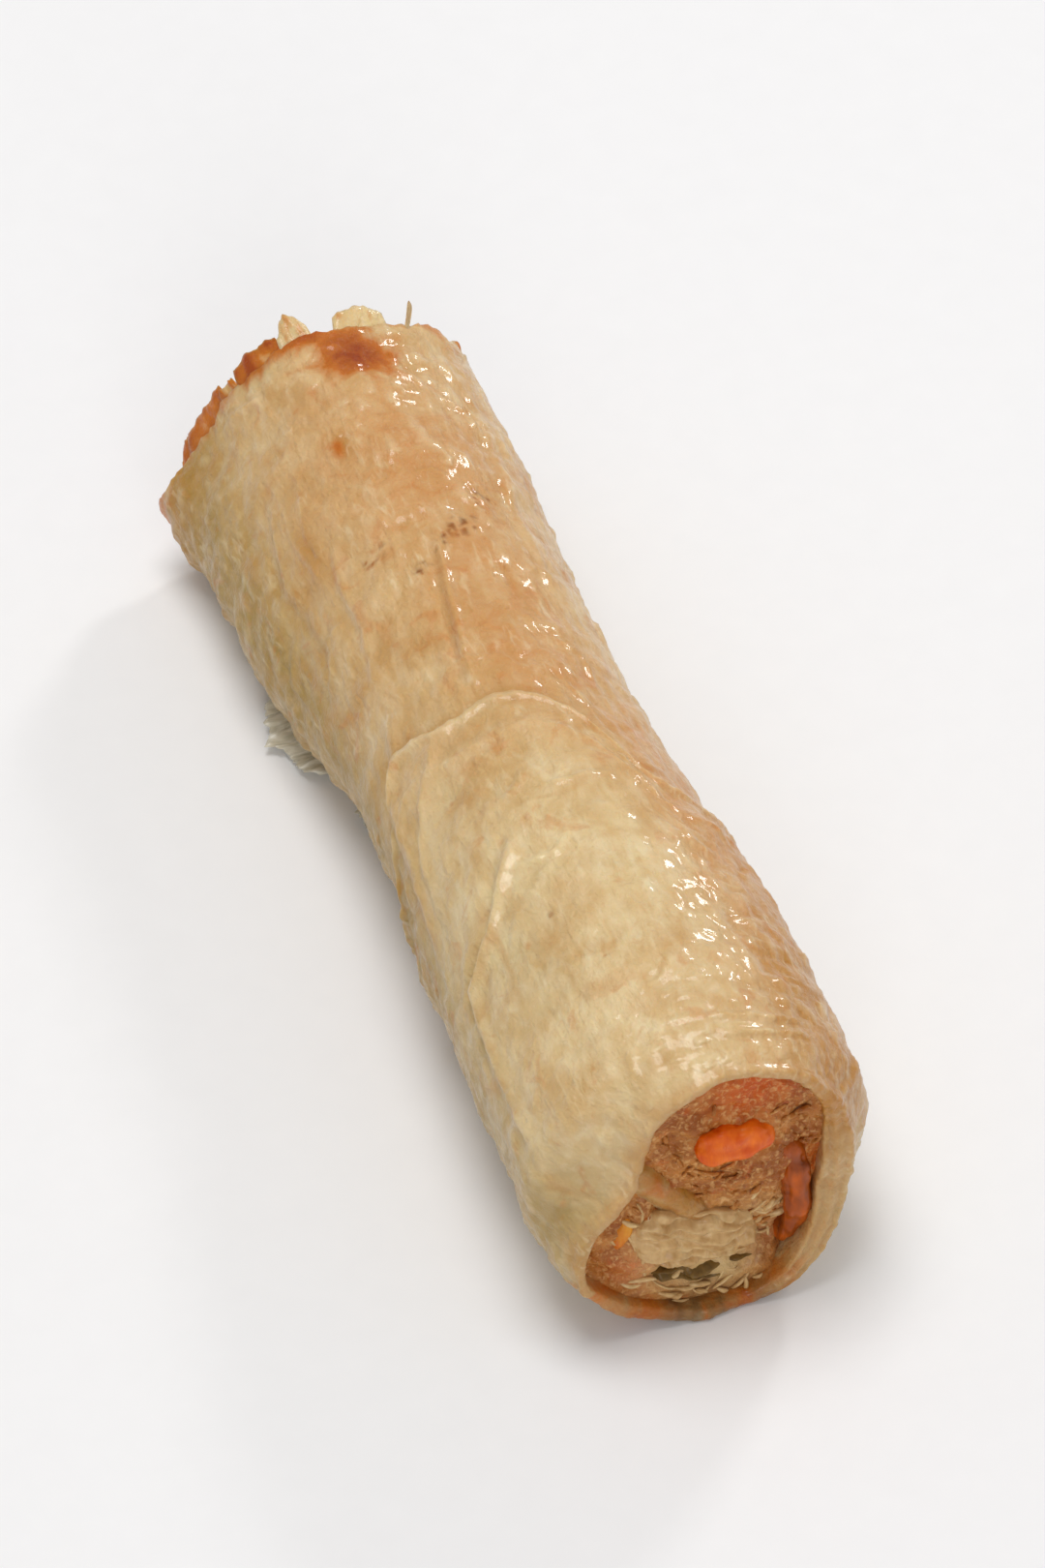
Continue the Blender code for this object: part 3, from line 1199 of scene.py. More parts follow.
@dataclass
class OuterPaper(PaperSheet):
    """A turn of paper that shows on the outside, with the relief and colours of the fried skin."""

    blisters: Blisters = Blisters(seed=5, count=4200)
    folds: tuple[Fold, ...] = ()
    group_size: int = 9
    speck_seed: int = 15

    def relief(self, y: Array, around: Array) -> tuple[Array, Array]:
        """Slow dents, the filling's lumps pressing through, wrinkles, folds and blisters.

        Args:
            y: places along the roll.
            around: angles round it.

        Returns:
            Heights in metres, and the mask of the blisters.
        """
        points = self.form.point(y, around, 0.0)
        slow = self.noise.fractal(self.grain_points(points, 11 * MM), 2)
        lumps = self.noise.fractal(self.grain_points(points, 4.5 * MM), 2)
        stretched = points * np.array([1.0, 0.42, 1.0])
        wrinkles = 1 - np.abs(self.noise.fractal(self.grain_points(stretched, 2.6 * MM), 3))
        fine = self.noise.fractal(self.grain_points(points, 0.95 * MM), 2)
        height = 0.40 * MM * slow + 0.30 * MM * lumps + 0.24 * MM * (wrinkles**3 - 0.5) + 0.07 * MM * fine
        for fold in self.folds:
            height = height + fold.relief(self.form, y, around)
        height = height + self.ruffle(y, around)
        blown, mask = self.blisters.relief(self.form, y, around)
        return height + blown, mask

    def patches(self, table: tuple[tuple, ...], along: Array, around: Array) -> Array:
        """Soft patches of one colour, added up.

        Args:
            table: each patch's strength, middle and half-sizes, as in patch().
            along: shares of the length.
            around: angles round it.

        Returns:
            Their sum.
        """
        total = np.zeros(np.broadcast(along, around).shape)
        for strength, at, size in table:
            total += strength * patch(along, around, at, size)
        return total

    def specks(self, along: Array, around: Array) -> Array:
        """Small groups of browned specks on top.

        Args:
            along: shares of the length.
            around: angles round it.

        Returns:
            A mask from 0 to 0.8.
        """
        rng = np.random.default_rng(self.speck_seed)
        total = np.zeros(along.shape)
        for index, (share, degrees) in enumerate(SPECK_GROUPS + SINGLE_SPECKS):
            for _ in range(self.group_size if index < len(SPECK_GROUPS) else 1):
                at = (share + rng.normal(0, 0.007), degrees + rng.normal(0, 2.8))
                size = rng.uniform(0.0012, 0.0026)
                total += rng.uniform(0.45, 0.85) * patch(along, around, at, (size, size * 380))
        return np.minimum(total, 0.8)

    def ruffle(self, y: Array, around: Array) -> Array:
        """Loose ruffles along the lower -X side, and a slack lobe under the corner behind.

        Args:
            y: places along the roll.
            around: angles round it.

        Returns:
            Heights, in metres.
        """
        points = self.form.point(y, around, 0.0) * np.array([0.3, 1.0, 0.3])
        waves = self.noise.fractal(self.grain_points(points, 3.2 * MM), 3)
        lobe = patch(self.form.along(y), around, (0.045, 219), (0.034, 12))
        return MM * (0.95 * waves * bump_at(around, 212, 34) + 0.3 * waves + 1.8 * lobe)

    def masks(self, y: Array, around: Array, inside: bool) -> Masks:
        """Where the paper is peach, honey, olive, pale or toasted, with painted shade towards its lower
        side, on its front +X shoulder and on its inner side.

        Args:
            y: places along the roll.
            around: angles round it.
            inside: whether it is the sheet's inner side.

        Returns:
            Values from 0 to about 1, by mask.
        """
        along = self.form.along(y)
        points = self.form.point(y, around, 0.0)
        broken = self.noise.fractal(self.grain_points(points, 6 * MM), 3)
        peach = self.patches(PEACH_PATCHES, along, around) + 0.25 * (broken > 0.35)
        # Painted shade: the olive tint grows towards the roll's lower side, most on its lower -X flank.
        low = smooth_step(0.35, -0.55, np.sin(around))
        olive = 0.75 * low + bump_at(around, 195, 62)
        honey = self.patches(HONEY_PATCHES, along, around) + 0.30 * smooth_step(0.25, 0.7, broken)
        specks = self.specks(along, around)
        toast = self.patches(TOAST_PATCHES, along, around) + 0.30 * smooth_step(0.02, -0.01, along)
        toast = toast + 0.5 * specks
        toast = toast + (0.45 + 0.5 * broken) * patch(along, around, (1.0, 232), (0.022, 20))
        toast = toast + (0.60 + 0.5 * broken) * patch(along, around, (1.0, 270), (0.022, 30))
        # The inner side is painted olive and honey: painted shade inside the roll, and painted light
        # shining through the paper.
        if inside:
            olive = np.full(olive.shape, 0.55)
            honey = np.full(honey.shape, 0.65)
            peach = np.zeros(peach.shape)
        return {
            Shade.PEACH: peach,
            Shade.OLIVE: olive,
            Shade.HONEY: honey,
            Shade.TOAST_AND_SHADE: toast,
            Shade.PALE: 0.25 * smooth_step(0.1, 0.6, -broken),
            Shade.DARK: 0.8 * specks,
        }


@dataclass
class BackTurn(OuterPaper):
    """The turn of paper that shows over the back half, splayed and ragged at its rim."""

    name: str = "paper_back_turn"
    rows: int = 250
    columns: int = 270
    seed: int = 3

    def back_edge(self, around: Array) -> Array:
        """A ragged rim, with a corner of loose paper on the -X side."""
        teeth = 0.35 * self.rim_waves(around, 0.8) + 0.8 * self.ring_noise(around, 9)
        return self.form.length / 2 + MM * (teeth + 1.6 * bump_at(around, 197, 12))

    def front_edge(self, around: Array) -> Array:
        """It runs on under the outermost turn."""
        return self.form.seam_y(around) - 7 * MM

    def masks(self, y: Array, around: Array, inside: bool) -> Masks:
        """Warmer than the front, with a painted shadow in honey where it slips under the outermost turn.

        Args:
            y: places along the roll.
            around: angles round it.
            inside: whether it is the sheet's inner side.

        Returns:
            Values from 0 to about 1, by mask.
        """
        masks = super().masks(y, around, inside)
        to_seam = y - self.form.seam_y(around)
        masks[Shade.PEACH] += 0.30
        # Painted shadow: a honey band along the edge of the outermost turn, which lies over this one.
        masks[Shade.HONEY] += 0.5 * hump(to_seam, 1.6 * MM)
        return masks

    def thickness(self, y: Array, around: Array) -> Array:
        """Thinner at its ragged rim."""
        from_rim = self.back_edge(around) - y
        return 0.45 * MM + 0.6 * MM * smooth_step(0, 6 * MM, from_rim)


@dataclass
class FrontTurn(OuterPaper):
    """The outermost turn, from the arc of its edge across the roll to the folded-in front lip."""

    name: str = "paper_front_turn"
    rows: int = 236
    columns: int = 280
    rim_rows: int = 12
    rim_bulge: float = 0.75 * MM
    rim_roundness: float = 0.6
    seed: int = 4

    def back_edge(self, around: Array) -> Array:
        """The sheet's round edge, slightly uneven."""
        return self.form.seam_y(around) + 0.8 * MM * self.ring_noise(around, 7)

    def front_edge(self, around: Array) -> Array:
        """The mouth's rim, set back on top and forward below."""
        uneven = 0.22 * self.rim_waves(around, 2.3) + 0.35 * self.ring_noise(around, 6, shift=9)
        return -self.form.length / 2 + MM * (uneven + 0.9 * np.sin(around))

    def relief(self, y: Array, around: Array) -> tuple[Array, Array]:
        """As on any outer turn, with the welt along its round edge.

        Args:
            y: places along the roll.
            around: angles round it.

        Returns:
            Heights in metres, and the mask of the blisters.
        """
        height, blown = super().relief(y, around)
        from_edge = self.back_edge(around) - y
        welt = hump(from_edge - 0.7 * MM, 0.6 * MM) + 0.5 * hump(from_edge - 5.5 * MM, 0.9 * MM)
        return height + 0.34 * MM * welt, blown

    def masks(self, y: Array, around: Array, inside: bool) -> Masks:
        """Paler than behind, with a pale welt and a honey band along its edge, and painted light and shade
        on the welt, the +X shoulder and the bottom lip.

        Args:
            y: places along the roll.
            around: angles round it.
            inside: whether it is the sheet's inner side.

        Returns:
            Values from 0 to about 1, by mask.
        """
        masks = super().masks(y, around, inside)
        from_edge = self.back_edge(around) - y
        # The pale tint is held back on the front +X shoulder, so that the painted shadow there stays dark.
        paler = 0.30 * smooth_step(2 * MM, 26 * MM, from_edge) * (1 - bump_at(around, 35, 30))
        masks[Shade.PEACH] += 0.34 * (1 - smooth_step(0, 22 * MM, from_edge))
        # The welt along the edge is whitish paper with a painted highlight on its ridge.
        welt = hump(from_edge - 0.6 * MM, 0.5 * MM)
        masks[Shade.PALE] += paler + 0.45 * welt
        band = hump(from_edge - 3.2 * MM, 1.6 * MM) * bump_at(around, 112, 42)
        from_front = y - self.front_edge(around)
        rim = hump(from_front, 1.0 * MM)
        masks[Shade.HONEY] += 0.45 * band + 0.4 * rim
        points = self.form.point(y, around, 0.0)
        mottled = self.noise.fractal(self.grain_points(points, 2.2 * MM), 3)
        # The bottom lip is partly mottled olive, honey and toasted paper, and partly painted shade from the
        # dark mask, where it meets the floor.
        lip = bump_at(around, 262, 50) * hump(from_front, 2.6 * MM)
        masks[Shade.OLIVE] += 1.0 * lip
        masks[Shade.HONEY] += 0.6 * lip
        masks[Shade.TOAST_AND_SHADE] *= 1 - 0.8 * lip
        masks[Shade.TOAST_AND_SHADE] += lip * np.clip(0.1 + 0.9 * mottled, 0, 0.6)
        masks[Shade.DARK] += lip * np.clip(0.45 - 0.9 * mottled, 0, 0.8)
        return masks

    def lift(self, y: Array, around: Array) -> Array:
        """It lies low at its edge and a full step higher further on."""
        from_edge = self.back_edge(around) - y
        return 0.50 * MM + 0.30 * MM * smooth_step(0, 9 * MM, from_edge)

    def thickness(self, y: Array, around: Array) -> Array:
        """Thin at its edge, and at the mouth as thick as all the turns together.

        Args:
            y: places along the roll.
            around: angles round it.

        Returns:
            Thicknesses, in metres.
        """
        from_edge = self.back_edge(around) - y
        whole = self.form.wall_at(self.form.along(y), around) - 0.2 * MM
        from_front = y + self.form.length / 2
        at_mouth = smooth_step(22 * MM, 12 * MM, from_front)
        at_lip = bump_at(around, *self.form.lip_arc) * smooth_step(12 * MM, 4 * MM, from_front)
        whole = whole * (1 - 0.4 * at_lip)
        thin = 0.55 * MM + 0.35 * MM * smooth_step(0, 3 * MM, from_edge)
        return thin + (whole - thin) * at_mouth

    def rim_crease(self, share: float, thickness: Array) -> Array:
        """Two creases where the turns of paper meet, on the thick side.

        Args:
            share: how far from the outer to the inner side.
            thickness: the sheet's thickness.

        Returns:
            Depths, in metres.
        """
        layered = smooth_step(1.6 * MM, 3.0 * MM, thickness)
        creases = hump(share - 0.36, 0.07) + hump(share - 0.68, 0.07)
        return 0.42 * MM * layered * creases


@dataclass
class FrayedTurn(OuterPaper):
    """The toasted end of an inner turn, which stands past the back rim on top and on the -X side."""

    name: str = "paper_frayed_turn"
    rows: int = 60
    columns: int = 300
    seed: int = 9
    blisters: Blisters = Blisters(seed=8, count=500)

    def back_edge(self, around: Array) -> Array:
        """Ragged flakes, which reach furthest on the upper -X side.

        Args:
            around: angles round it.

        Returns:
            The edge's y.
        """
        reach = 2.0 * bump_at(around, 148, 60) + 0.7 * bump_at(around, 80, 60) - 0.8
        flakes = self.ring_noise(around, 5, 4, 0.7) * bump_at(around, 140, 110)
        return self.form.length / 2 + MM * (reach + 2.0 * flakes)

    def front_edge(self, around: Array) -> Array:
        """It runs in under the back rim."""
        return np.full(around.shape, self.form.length / 2 - 12 * MM)

    def lift(self, y: Array, around: Array) -> Array:
        """It lies inside the turn over it, and flares past the rim.

        Args:
            y: places along the roll.
            around: angles round it.

        Returns:
            Heights over the plain form, in metres.
        """
        past = smooth_step(-2 * MM, 3.5 * MM, y - self.form.length / 2)
        wander = self.noise.fractal(np.stack([np.cos(around) * 3, np.sin(around) * 3, y / (4 * MM)], -1), 3)
        return -1.15 * MM + 0.7 * MM * past * bump_at(around, 150, 80) + 0.9 * MM * past * wander

    def thickness(self, y: Array, around: Array) -> Array:
        """A thin, brittle edge."""
        from_rim = self.back_edge(around) - y
        return 0.28 * MM + 0.4 * MM * smooth_step(0, 6 * MM, from_rim)

    def masks(self, y: Array, around: Array, inside: bool) -> Masks:
        """Toasted, most on the upper -X side.

        Args:
            y: places along the roll.
            around: angles round it.
            inside: whether it is the sheet's inner side.

        Returns:
            Values from 0 to about 1, by mask.
        """
        masks = super().masks(y, around, inside)
        points = self.form.point(y, around, 0.0)
        broken = self.noise.fractal(self.grain_points(points, 2.5 * MM), 3)
        masks[Shade.TOAST_AND_SHADE] = 0.30 + 0.42 * bump_at(around, 145, 70) + 0.45 * broken
        return masks


# Spots on the filling's front face: strength, middle x, middle height and reach, in millimetres.
FRONT_HOLLOWS = (
    (-1.4, 3.8, 2.2, 7.0),
    (0.8, -6.5, 7.5, 3.5),
    (1.2, -3.0, -2.4, 3.0),
    (0.8, 0.6, -7.0, 2.6),
    (1.4, -7.0, 2.6, 3.0),
    (1.4, 8.6, -12.4, 2.4),
    (-0.8, -8.0, -9.0, 3.6),
)
RUSTY_SPOTS = ((1.0, 4.0, 13.5, 5.0), (0.7, 10.8, 0.0, 3.2), (0.8, 9.5, -9.0, 4.2), (0.7, -9.0, -9.0, 3.0))
CREAMY_SPOTS = ((0.85, -4.0, -8.5, 4.6), (0.8, 0.5, -12.5, 3.6), (0.4, 5.0, -7.0, 3.6))
DARK_SPOTS = ((0.5, 8.2, -12.2, 3.0), (0.5, -1.0, -15.2, 3.4))


@dataclass
class Filling:
    """The minced filling: one long body whose two end faces are packed with soft, irregular grains."""

    form: RollForm
    name: str = "minced_body"
    front_rings: int = 130
    back_rings: int = 90
    body_rows: int = 34
    columns: int = 300
    grain: float = 1.45 * MM
    grain_reach: float = 17 * MM
    grain_sharpness: float = 5.5
    front_press: float = 1.1 * MM
    lip_press: float = 0.9 * MM
    back_gap: float = 0.5 * MM
    least_depth: float = 0.25 * MM
    face_foot: float = 1.6 * MM
    body_foot: float = 2.4 * MM
    noise: GradientNoise = field(default_factory=lambda: GradientNoise(51))

    def room(self, depth: Array, around: Array, front: bool) -> Array:
        """How far out the filling may reach, at a depth behind a rim.

        Args:
            depth: metres behind the rim.
            around: angles round the axis.
            front: whether it is the front rim.

        Returns:
            The paper's inner radius, with a little press into the front turn and a gap behind.
        """
        share = depth / self.form.length
        along = 1 - share if front else share
        turns = self.form.wall_at(along, around) - (self.front_press if front else -self.back_gap)
        if front:
            turns = turns - self.lip_press * bump_at(around, *self.form.lip_arc)
        return self.form.radius(along, around) - turns

    def grains(self, x: Array, height: Array, seed: int) -> Array:
        """The relief of packed grains, from about 0 in the creases to 1 on the tops.

        Args:
            x: sideways from the roll's axis.
            height: up from it.
            seed: picks the grains' places.

        Returns:
            The relief at each place.
        """
        rng = np.random.default_rng(seed)
        steps = np.arange(-self.grain_reach, self.grain_reach, self.grain)
        seeds_x, seeds_h = (a.ravel() for a in np.meshgrid(steps, steps))
        total = np.zeros(x.shape)
        for middle_x, middle_h in zip(seeds_x, seeds_h):
            jitter = rng.normal(0, 0.36 * self.grain, 2)
            turn = rng.uniform(0, math.pi)
            size = self.grain * rng.uniform(0.62, 1.05)
            stretch = rng.uniform(1.0, 1.9)
            top = rng.uniform(0.45, 1.0)
            off_x, off_h = x - middle_x - jitter[0], height - middle_h - jitter[1]
            u = (off_x * math.cos(turn) + off_h * math.sin(turn)) / stretch
            v = off_h * math.cos(turn) - off_x * math.sin(turn)
            dome = top - (u * u + v * v) / size**2
            total += np.exp(self.grain_sharpness * np.clip(dome, -1, 1))
        return np.log(total) / self.grain_sharpness

    def front_depth(self, x: Array, height: Array) -> Array:
        """The front face's depth: it bulges on the +X side and dips behind the cut pieces.

        Args:
            x: sideways from the roll's axis.
            height: up from it.

        Returns:
            Depths behind the rim, in metres.
        """
        uneven = spots(x / MM, height / MM, FRONT_HOLLOWS)
        return (2.4 + uneven - 2.0 * smooth_step(-9 * MM, -15 * MM, height)) * MM

    def back_depth(self, x: Array, height: Array) -> Array:
        """The back face's depth, an uneven hollow.

        Args:
            x: sideways from the roll's axis.
            height: up from it.

        Returns:
            Depths behind the rim, in metres.
        """
        wave = 1.3 * np.sin(x / (3.1 * MM) + 0.8) * np.cos(height / (4.2 * MM))
        bulge = np.exp(-((x / MM + 4) ** 2 + (height / MM - 2) ** 2) / 30)
        return (4.6 + wave - 1.6 * bulge) * MM

    def face(self, front: bool, rings: int) -> tuple[Array, Array]:
        """One end face, from its middle out to the paper.

        Args:
            front: whether it is the front one.
            rings: how many rings of points it has.

        Returns:
            The points, ring by ring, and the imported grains' relief at each.
        """
        around = np.linspace(0, TURN, self.columns, endpoint=False)
        tries = np.linspace(0, 10 * MM, 60)
        room = self.room(tries[:, None], around[None, :], front)
        room = np.maximum.accumulate(room, axis=0)
        share = np.linspace(0.002, 1, rings)[:, None] ** 0.85
        radius = share * room[-1]
        x, height = radius * np.cos(around), radius * np.sin(around)
        design = self.front_depth(x, height) if front else self.back_depth(x, height)
        least = np.stack([np.interp(radius[:, c], room[:, c], tries) for c in range(self.columns)], axis=1)
        place = np.stack([x, height, np.full(x.shape, 9.0 if front else 40.0)], -1)
        relief = self.grains(x, height, 61 if front else 62)
        rough = self.noise.fractal(place / (0.75 * MM), 2, 0.6)
        slow = self.noise.fractal(place / (5 * MM), 2)
        up = 0.80 * relief + 0.26 * rough + 0.7 * slow
        depth = np.maximum(design - up * MM, least + self.least_depth)
        side = -1 if front else 1
        y = side * (self.form.length / 2 - depth)
        z = float(self.form.axis_height(np.array(1.0 if front else 0.0))) + height
        return np.stack([self.form.axis_x + x, y, np.maximum(z, self.face_foot)], -1), relief

    def build(self) -> bpy.types.Object:
        """Builds the whole body.

        Returns:
            The object, with masks for its redder, paler and darker parts.
        """
        front, front_relief = self.face(True, self.front_rings)
        back, back_relief = self.face(False, self.back_rings)
        around = np.linspace(0, TURN, self.columns, endpoint=False)[None, :]
        along = np.linspace(0.90, 0.08, self.body_rows)[:, None]
        radius = self.form.radius(along, around) - self.form.wall_at(along, around) - 0.9 * MM
        height = self.form.axis_height(along) + radius * np.sin(around)
        side = self.form.axis_x + radius * np.cos(around)
        body = np.stack(np.broadcast_arrays(side, self.form.y_at(along), height), -1)
        body[..., 2] = np.maximum(body[..., 2], self.body_foot)
        points = np.concatenate([front, body, back[::-1]])
        relief = np.concatenate([front_relief, np.zeros(body.shape[:2]), back_relief[::-1]])
        masks = self.masks(points, relief)
        faces = ring_faces(*points.shape[:2], closed=False)
        flat = {shade: values.ravel() for shade, values in masks.items()}
        obj = make_mesh(self.name, points.reshape(-1, 3), faces, flat)
        close_holes(obj)
        return obj

    def masks(self, points: Array, relief: Array) -> Masks:
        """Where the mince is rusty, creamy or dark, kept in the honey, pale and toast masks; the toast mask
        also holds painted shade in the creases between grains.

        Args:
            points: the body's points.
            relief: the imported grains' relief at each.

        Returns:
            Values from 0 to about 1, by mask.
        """
        x = (points[..., 0] - self.form.axis_x) / MM
        height = (points[..., 2] - self.form.axis_height(1.0)) / MM
        front = smooth_step(-40 * MM, -50 * MM, points[..., 1])
        # Painted shade: the mince is darkened in the creases between its grains, where their relief is low.
        dark = front * spots(x, height, DARK_SPOTS) + 0.6 * smooth_step(0.35, 0.0, relief)
        return {
            Shade.HONEY: front * spots(x, height, RUSTY_SPOTS),
            Shade.PALE: front * spots(x, height, CREAMY_SPOTS),
            Shade.TOAST_AND_SHADE: dark,
        }


@dataclass(frozen=True)
class ShredZone:
    """Where a kind of shred lies on an end face: its middle and spread, in metres, and how many."""

    middle: Pair
    spread: float
    count: int
    front: bool = True


@dataclass
class Shreds:
    """Short, bent fibres and noodle ends that lie on the filling's faces."""

    filling: Filling
    name: str
    zones: tuple[ShredZone, ...]
    lengths: Pair = (1.0 * MM, 3.2 * MM)
    radii: Pair = (0.16 * MM, 0.34 * MM)
    raised: float = 0.55 * MM
    seed: int = 77
    sides: int = 8
    steps: int = 12

    def build(self) -> bpy.types.Object:
        """Builds them all as one piece.

        Returns:
            The object.
        """
        rng = np.random.default_rng(self.seed)
        tubes = bmesh.new()
        for zone in self.zones:
            for _ in range(zone.count):
                route = self.route(rng, zone)
                self.add_tube(tubes, route, rng.uniform(*self.radii))
        return smooth_object(self.name, tubes)

    def route(self, rng: np.random.Generator, zone: ShredZone) -> Array:
        """The points along the middle of one shred.

        Args:
            rng: the draw.
            zone: where it may lie.

        Returns:
            The points, one a row.
        """
        reach, turn = math.sqrt(rng.random()) * zone.spread, rng.uniform(0, TURN)
        x, height = zone.middle[0] + reach * math.cos(turn), zone.middle[1] + reach * math.sin(turn)
        depth_at = self.filling.front_depth if zone.front else self.filling.back_depth
        length = rng.uniform(*self.lengths)
        share = np.linspace(-0.5, 0.5, self.steps)
        angle = rng.uniform(0, math.pi) + rng.normal(0, 0.7) * share
        px = x + length * np.cumsum(np.cos(angle)) / self.steps
        ph = height + length * np.cumsum(np.sin(angle)) / self.steps
        depth = depth_at(px, ph) - self.raised + 0.5 * MM * np.abs(share) + rng.normal(0, 0.12 * MM)
        form = self.filling.form
        y = (-1 if zone.front else 1) * (form.length / 2 - depth)
        z = float(form.axis_height(np.array(1.0 if zone.front else 0.0))) + ph
        return np.stack([form.axis_x + px, y, z], -1)

    def add_tube(self, tubes: bmesh.types.BMesh, route: Array, thick: float) -> None:
        """Adds a closed tube that tapers at both ends.

        Args:
            tubes: the mesh being built.
            route: the points along its middle.
            thick: its radius.
        """
        rings = []
        for index, at in enumerate(route):
            share = index / (len(route) - 1)
            radius = thick * (0.15 + 0.85 * math.sin(math.pi * share) ** 0.5)
            ahead = route[min(index + 1, len(route) - 1)] - route[max(index - 1, 0)]
            forward = Vector(ahead).normalized()
            across = forward.cross(Vector((0, 1, 0))).normalized()
            lift = across.cross(forward)
            ring = []
            for side in range(self.sides):
                turn = TURN * side / self.sides
                off = across * math.cos(turn) + lift * math.sin(turn)
                ring.append(tubes.verts.new(Vector(at) + radius * off))
            rings.append(ring)
        for low, high in zip(rings, rings[1:]):
            for side in range(self.sides):
                after = (side + 1) % self.sides
                tubes.faces.new((low[side], low[after], high[after], high[side]))
        tubes.faces.new(rings[0][::-1])
        tubes.faces.new(rings[-1])


@dataclass
class CutPiece:
    """A cut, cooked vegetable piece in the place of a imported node. Its size is in millimetres."""

    node: str
    size: Triple
    tilt_degrees: float
    seed: int
    cuts: int = 19
    squareness: float = 6.0
    bow: float = 0.04
    rippled: float = 0.10 * MM
    crumple: float = 0.40 * MM
    grow: float = 1.02
    shift: Triple = (0.0, 0.0, 0.0)
    layers: float = 0.0

    def build(self) -> bpy.types.Object:
        """Builds the piece about the middle of its node's box.

        Returns:
            The object.
        """
        low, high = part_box(self.node)
        centre = (Vector(low) + Vector(high)) / 2 + Vector(self.shift)
        block = bmesh.new()
        bmesh.ops.create_cube(block, size=2.0)
        bmesh.ops.subdivide_edges(block, edges=block.edges[:], cuts=self.cuts, use_grid_fill=True)
        noise = GradientNoise(self.seed)
        points = np.array([v.co for v in block.verts])
        reach = np.sum(np.abs(points) ** self.squareness, axis=1) ** (1 / self.squareness)
        unit = points / reach[:, None]
        outward = unit / np.linalg.norm(unit, axis=1, keepdims=True)
        size = np.array(self.size) * MM
        placed = unit * size / 2 * self.grow
        share = unit[:, 2]
        placed[:, 0] *= 1 - 0.12 * share**2
        placed[:, 0] += self.bow * size[2] * (0.5 - share**2)
        coarse = noise.fractal(placed / (3.0 * MM) + self.seed, 2)
        stretched = placed * np.array([1.0, 1.0, 0.35])
        fibres = noise.fractal(stretched / (0.7 * MM) + self.seed, 2)
        placed += outward * (self.crumple * coarse + self.rippled * fibres)[:, None]
        warp = noise.fractal(placed / (3.4 * MM) - self.seed, 2)
        leaves = 1 - 2 * np.abs(np.sin(math.pi * (placed[:, 0] / (1.5 * MM) + 1.3 * warp)))
        placed[:, 1] += self.layers * leaves * (1 - 0.6 * share**2)
        for vertex, point in zip(block.verts, placed):
            vertex.co = point
        place = Matrix.Translation(centre) @ Matrix.Rotation(math.radians(self.tilt_degrees), 4, "Y")
        bmesh.ops.transform(block, matrix=place, verts=block.verts)
        return smooth_object(self.node + "_piece", block)


@dataclass
class InnerFold:
    """A fold of the innermost paper across the mouth, which holds back the filling's lower -X side.

    Its start and end are millimetres sideways from the axis and up.
    """

    form: RollForm
    name: str = "inner_paper_fold"
    start: Pair = (-10.4, 6.4)
    end: Pair = (4.0, -10.0)
    width: float = 4.6 * MM
    cells: tuple[int, int] = (100, 40)

    def build(self) -> bpy.types.Object:
        """Builds a curled strip from the upper -X side of the mouth to its lower middle.

        Returns:
            The object, with its masks.
        """
        noise = GradientNoise(21)
        u, v = sheet_grid((0, 1, self.cells[0]), (-1, 1, self.cells[1]))
        start, end = np.array(self.start) * MM, np.array(self.end) * MM
        route = end - start
        across = np.array([route[1], -route[0]]) / np.linalg.norm(route)
        taper = 0.75 + 0.25 * np.sin(math.pi * np.clip(u, 0.02, 0.98)) ** 0.5
        offset = v * self.width / 2 * taper + 0.6 * MM * np.sin(math.pi * u)
        x = start[0] + route[0] * u + across[0] * offset
        height = start[1] + route[1] * u + across[1] * offset
        buried = 2.0 * MM * v * v + 1.0 * MM * smooth_step(-0.3, -1.0, v)
        depth = 1.2 * MM + buried + 1.2 * MM * (1 - u) ** 2
        z = self.form.axis_height(1.0) + height
        points = np.stack([self.form.axis_x + x, -self.form.length / 2 + depth, z], -1)
        points[..., 1] += 0.35 * MM * noise.fractal(points / (2.2 * MM), 3)
        # Painted light and shade across the strip: pale on its lower side and towards its end, honey with a
        # little toast on its upper side.
        light = np.clip(smooth_step(-0.2, 1.0, v) * 0.5 + 0.5 * smooth_step(0.5, 1.0, u), 0, 0.8)
        shades = {
            Shade.HONEY: 1.0 - 0.8 * light,
            Shade.OLIVE: 0.2,
            Shade.TOAST_AND_SHADE: 0.22 - 0.3 * light,
            Shade.PEACH: 0.0,
            Shade.PALE: light,
        }
        return make_leaf(self.name, points, 0.5 * MM, shades)


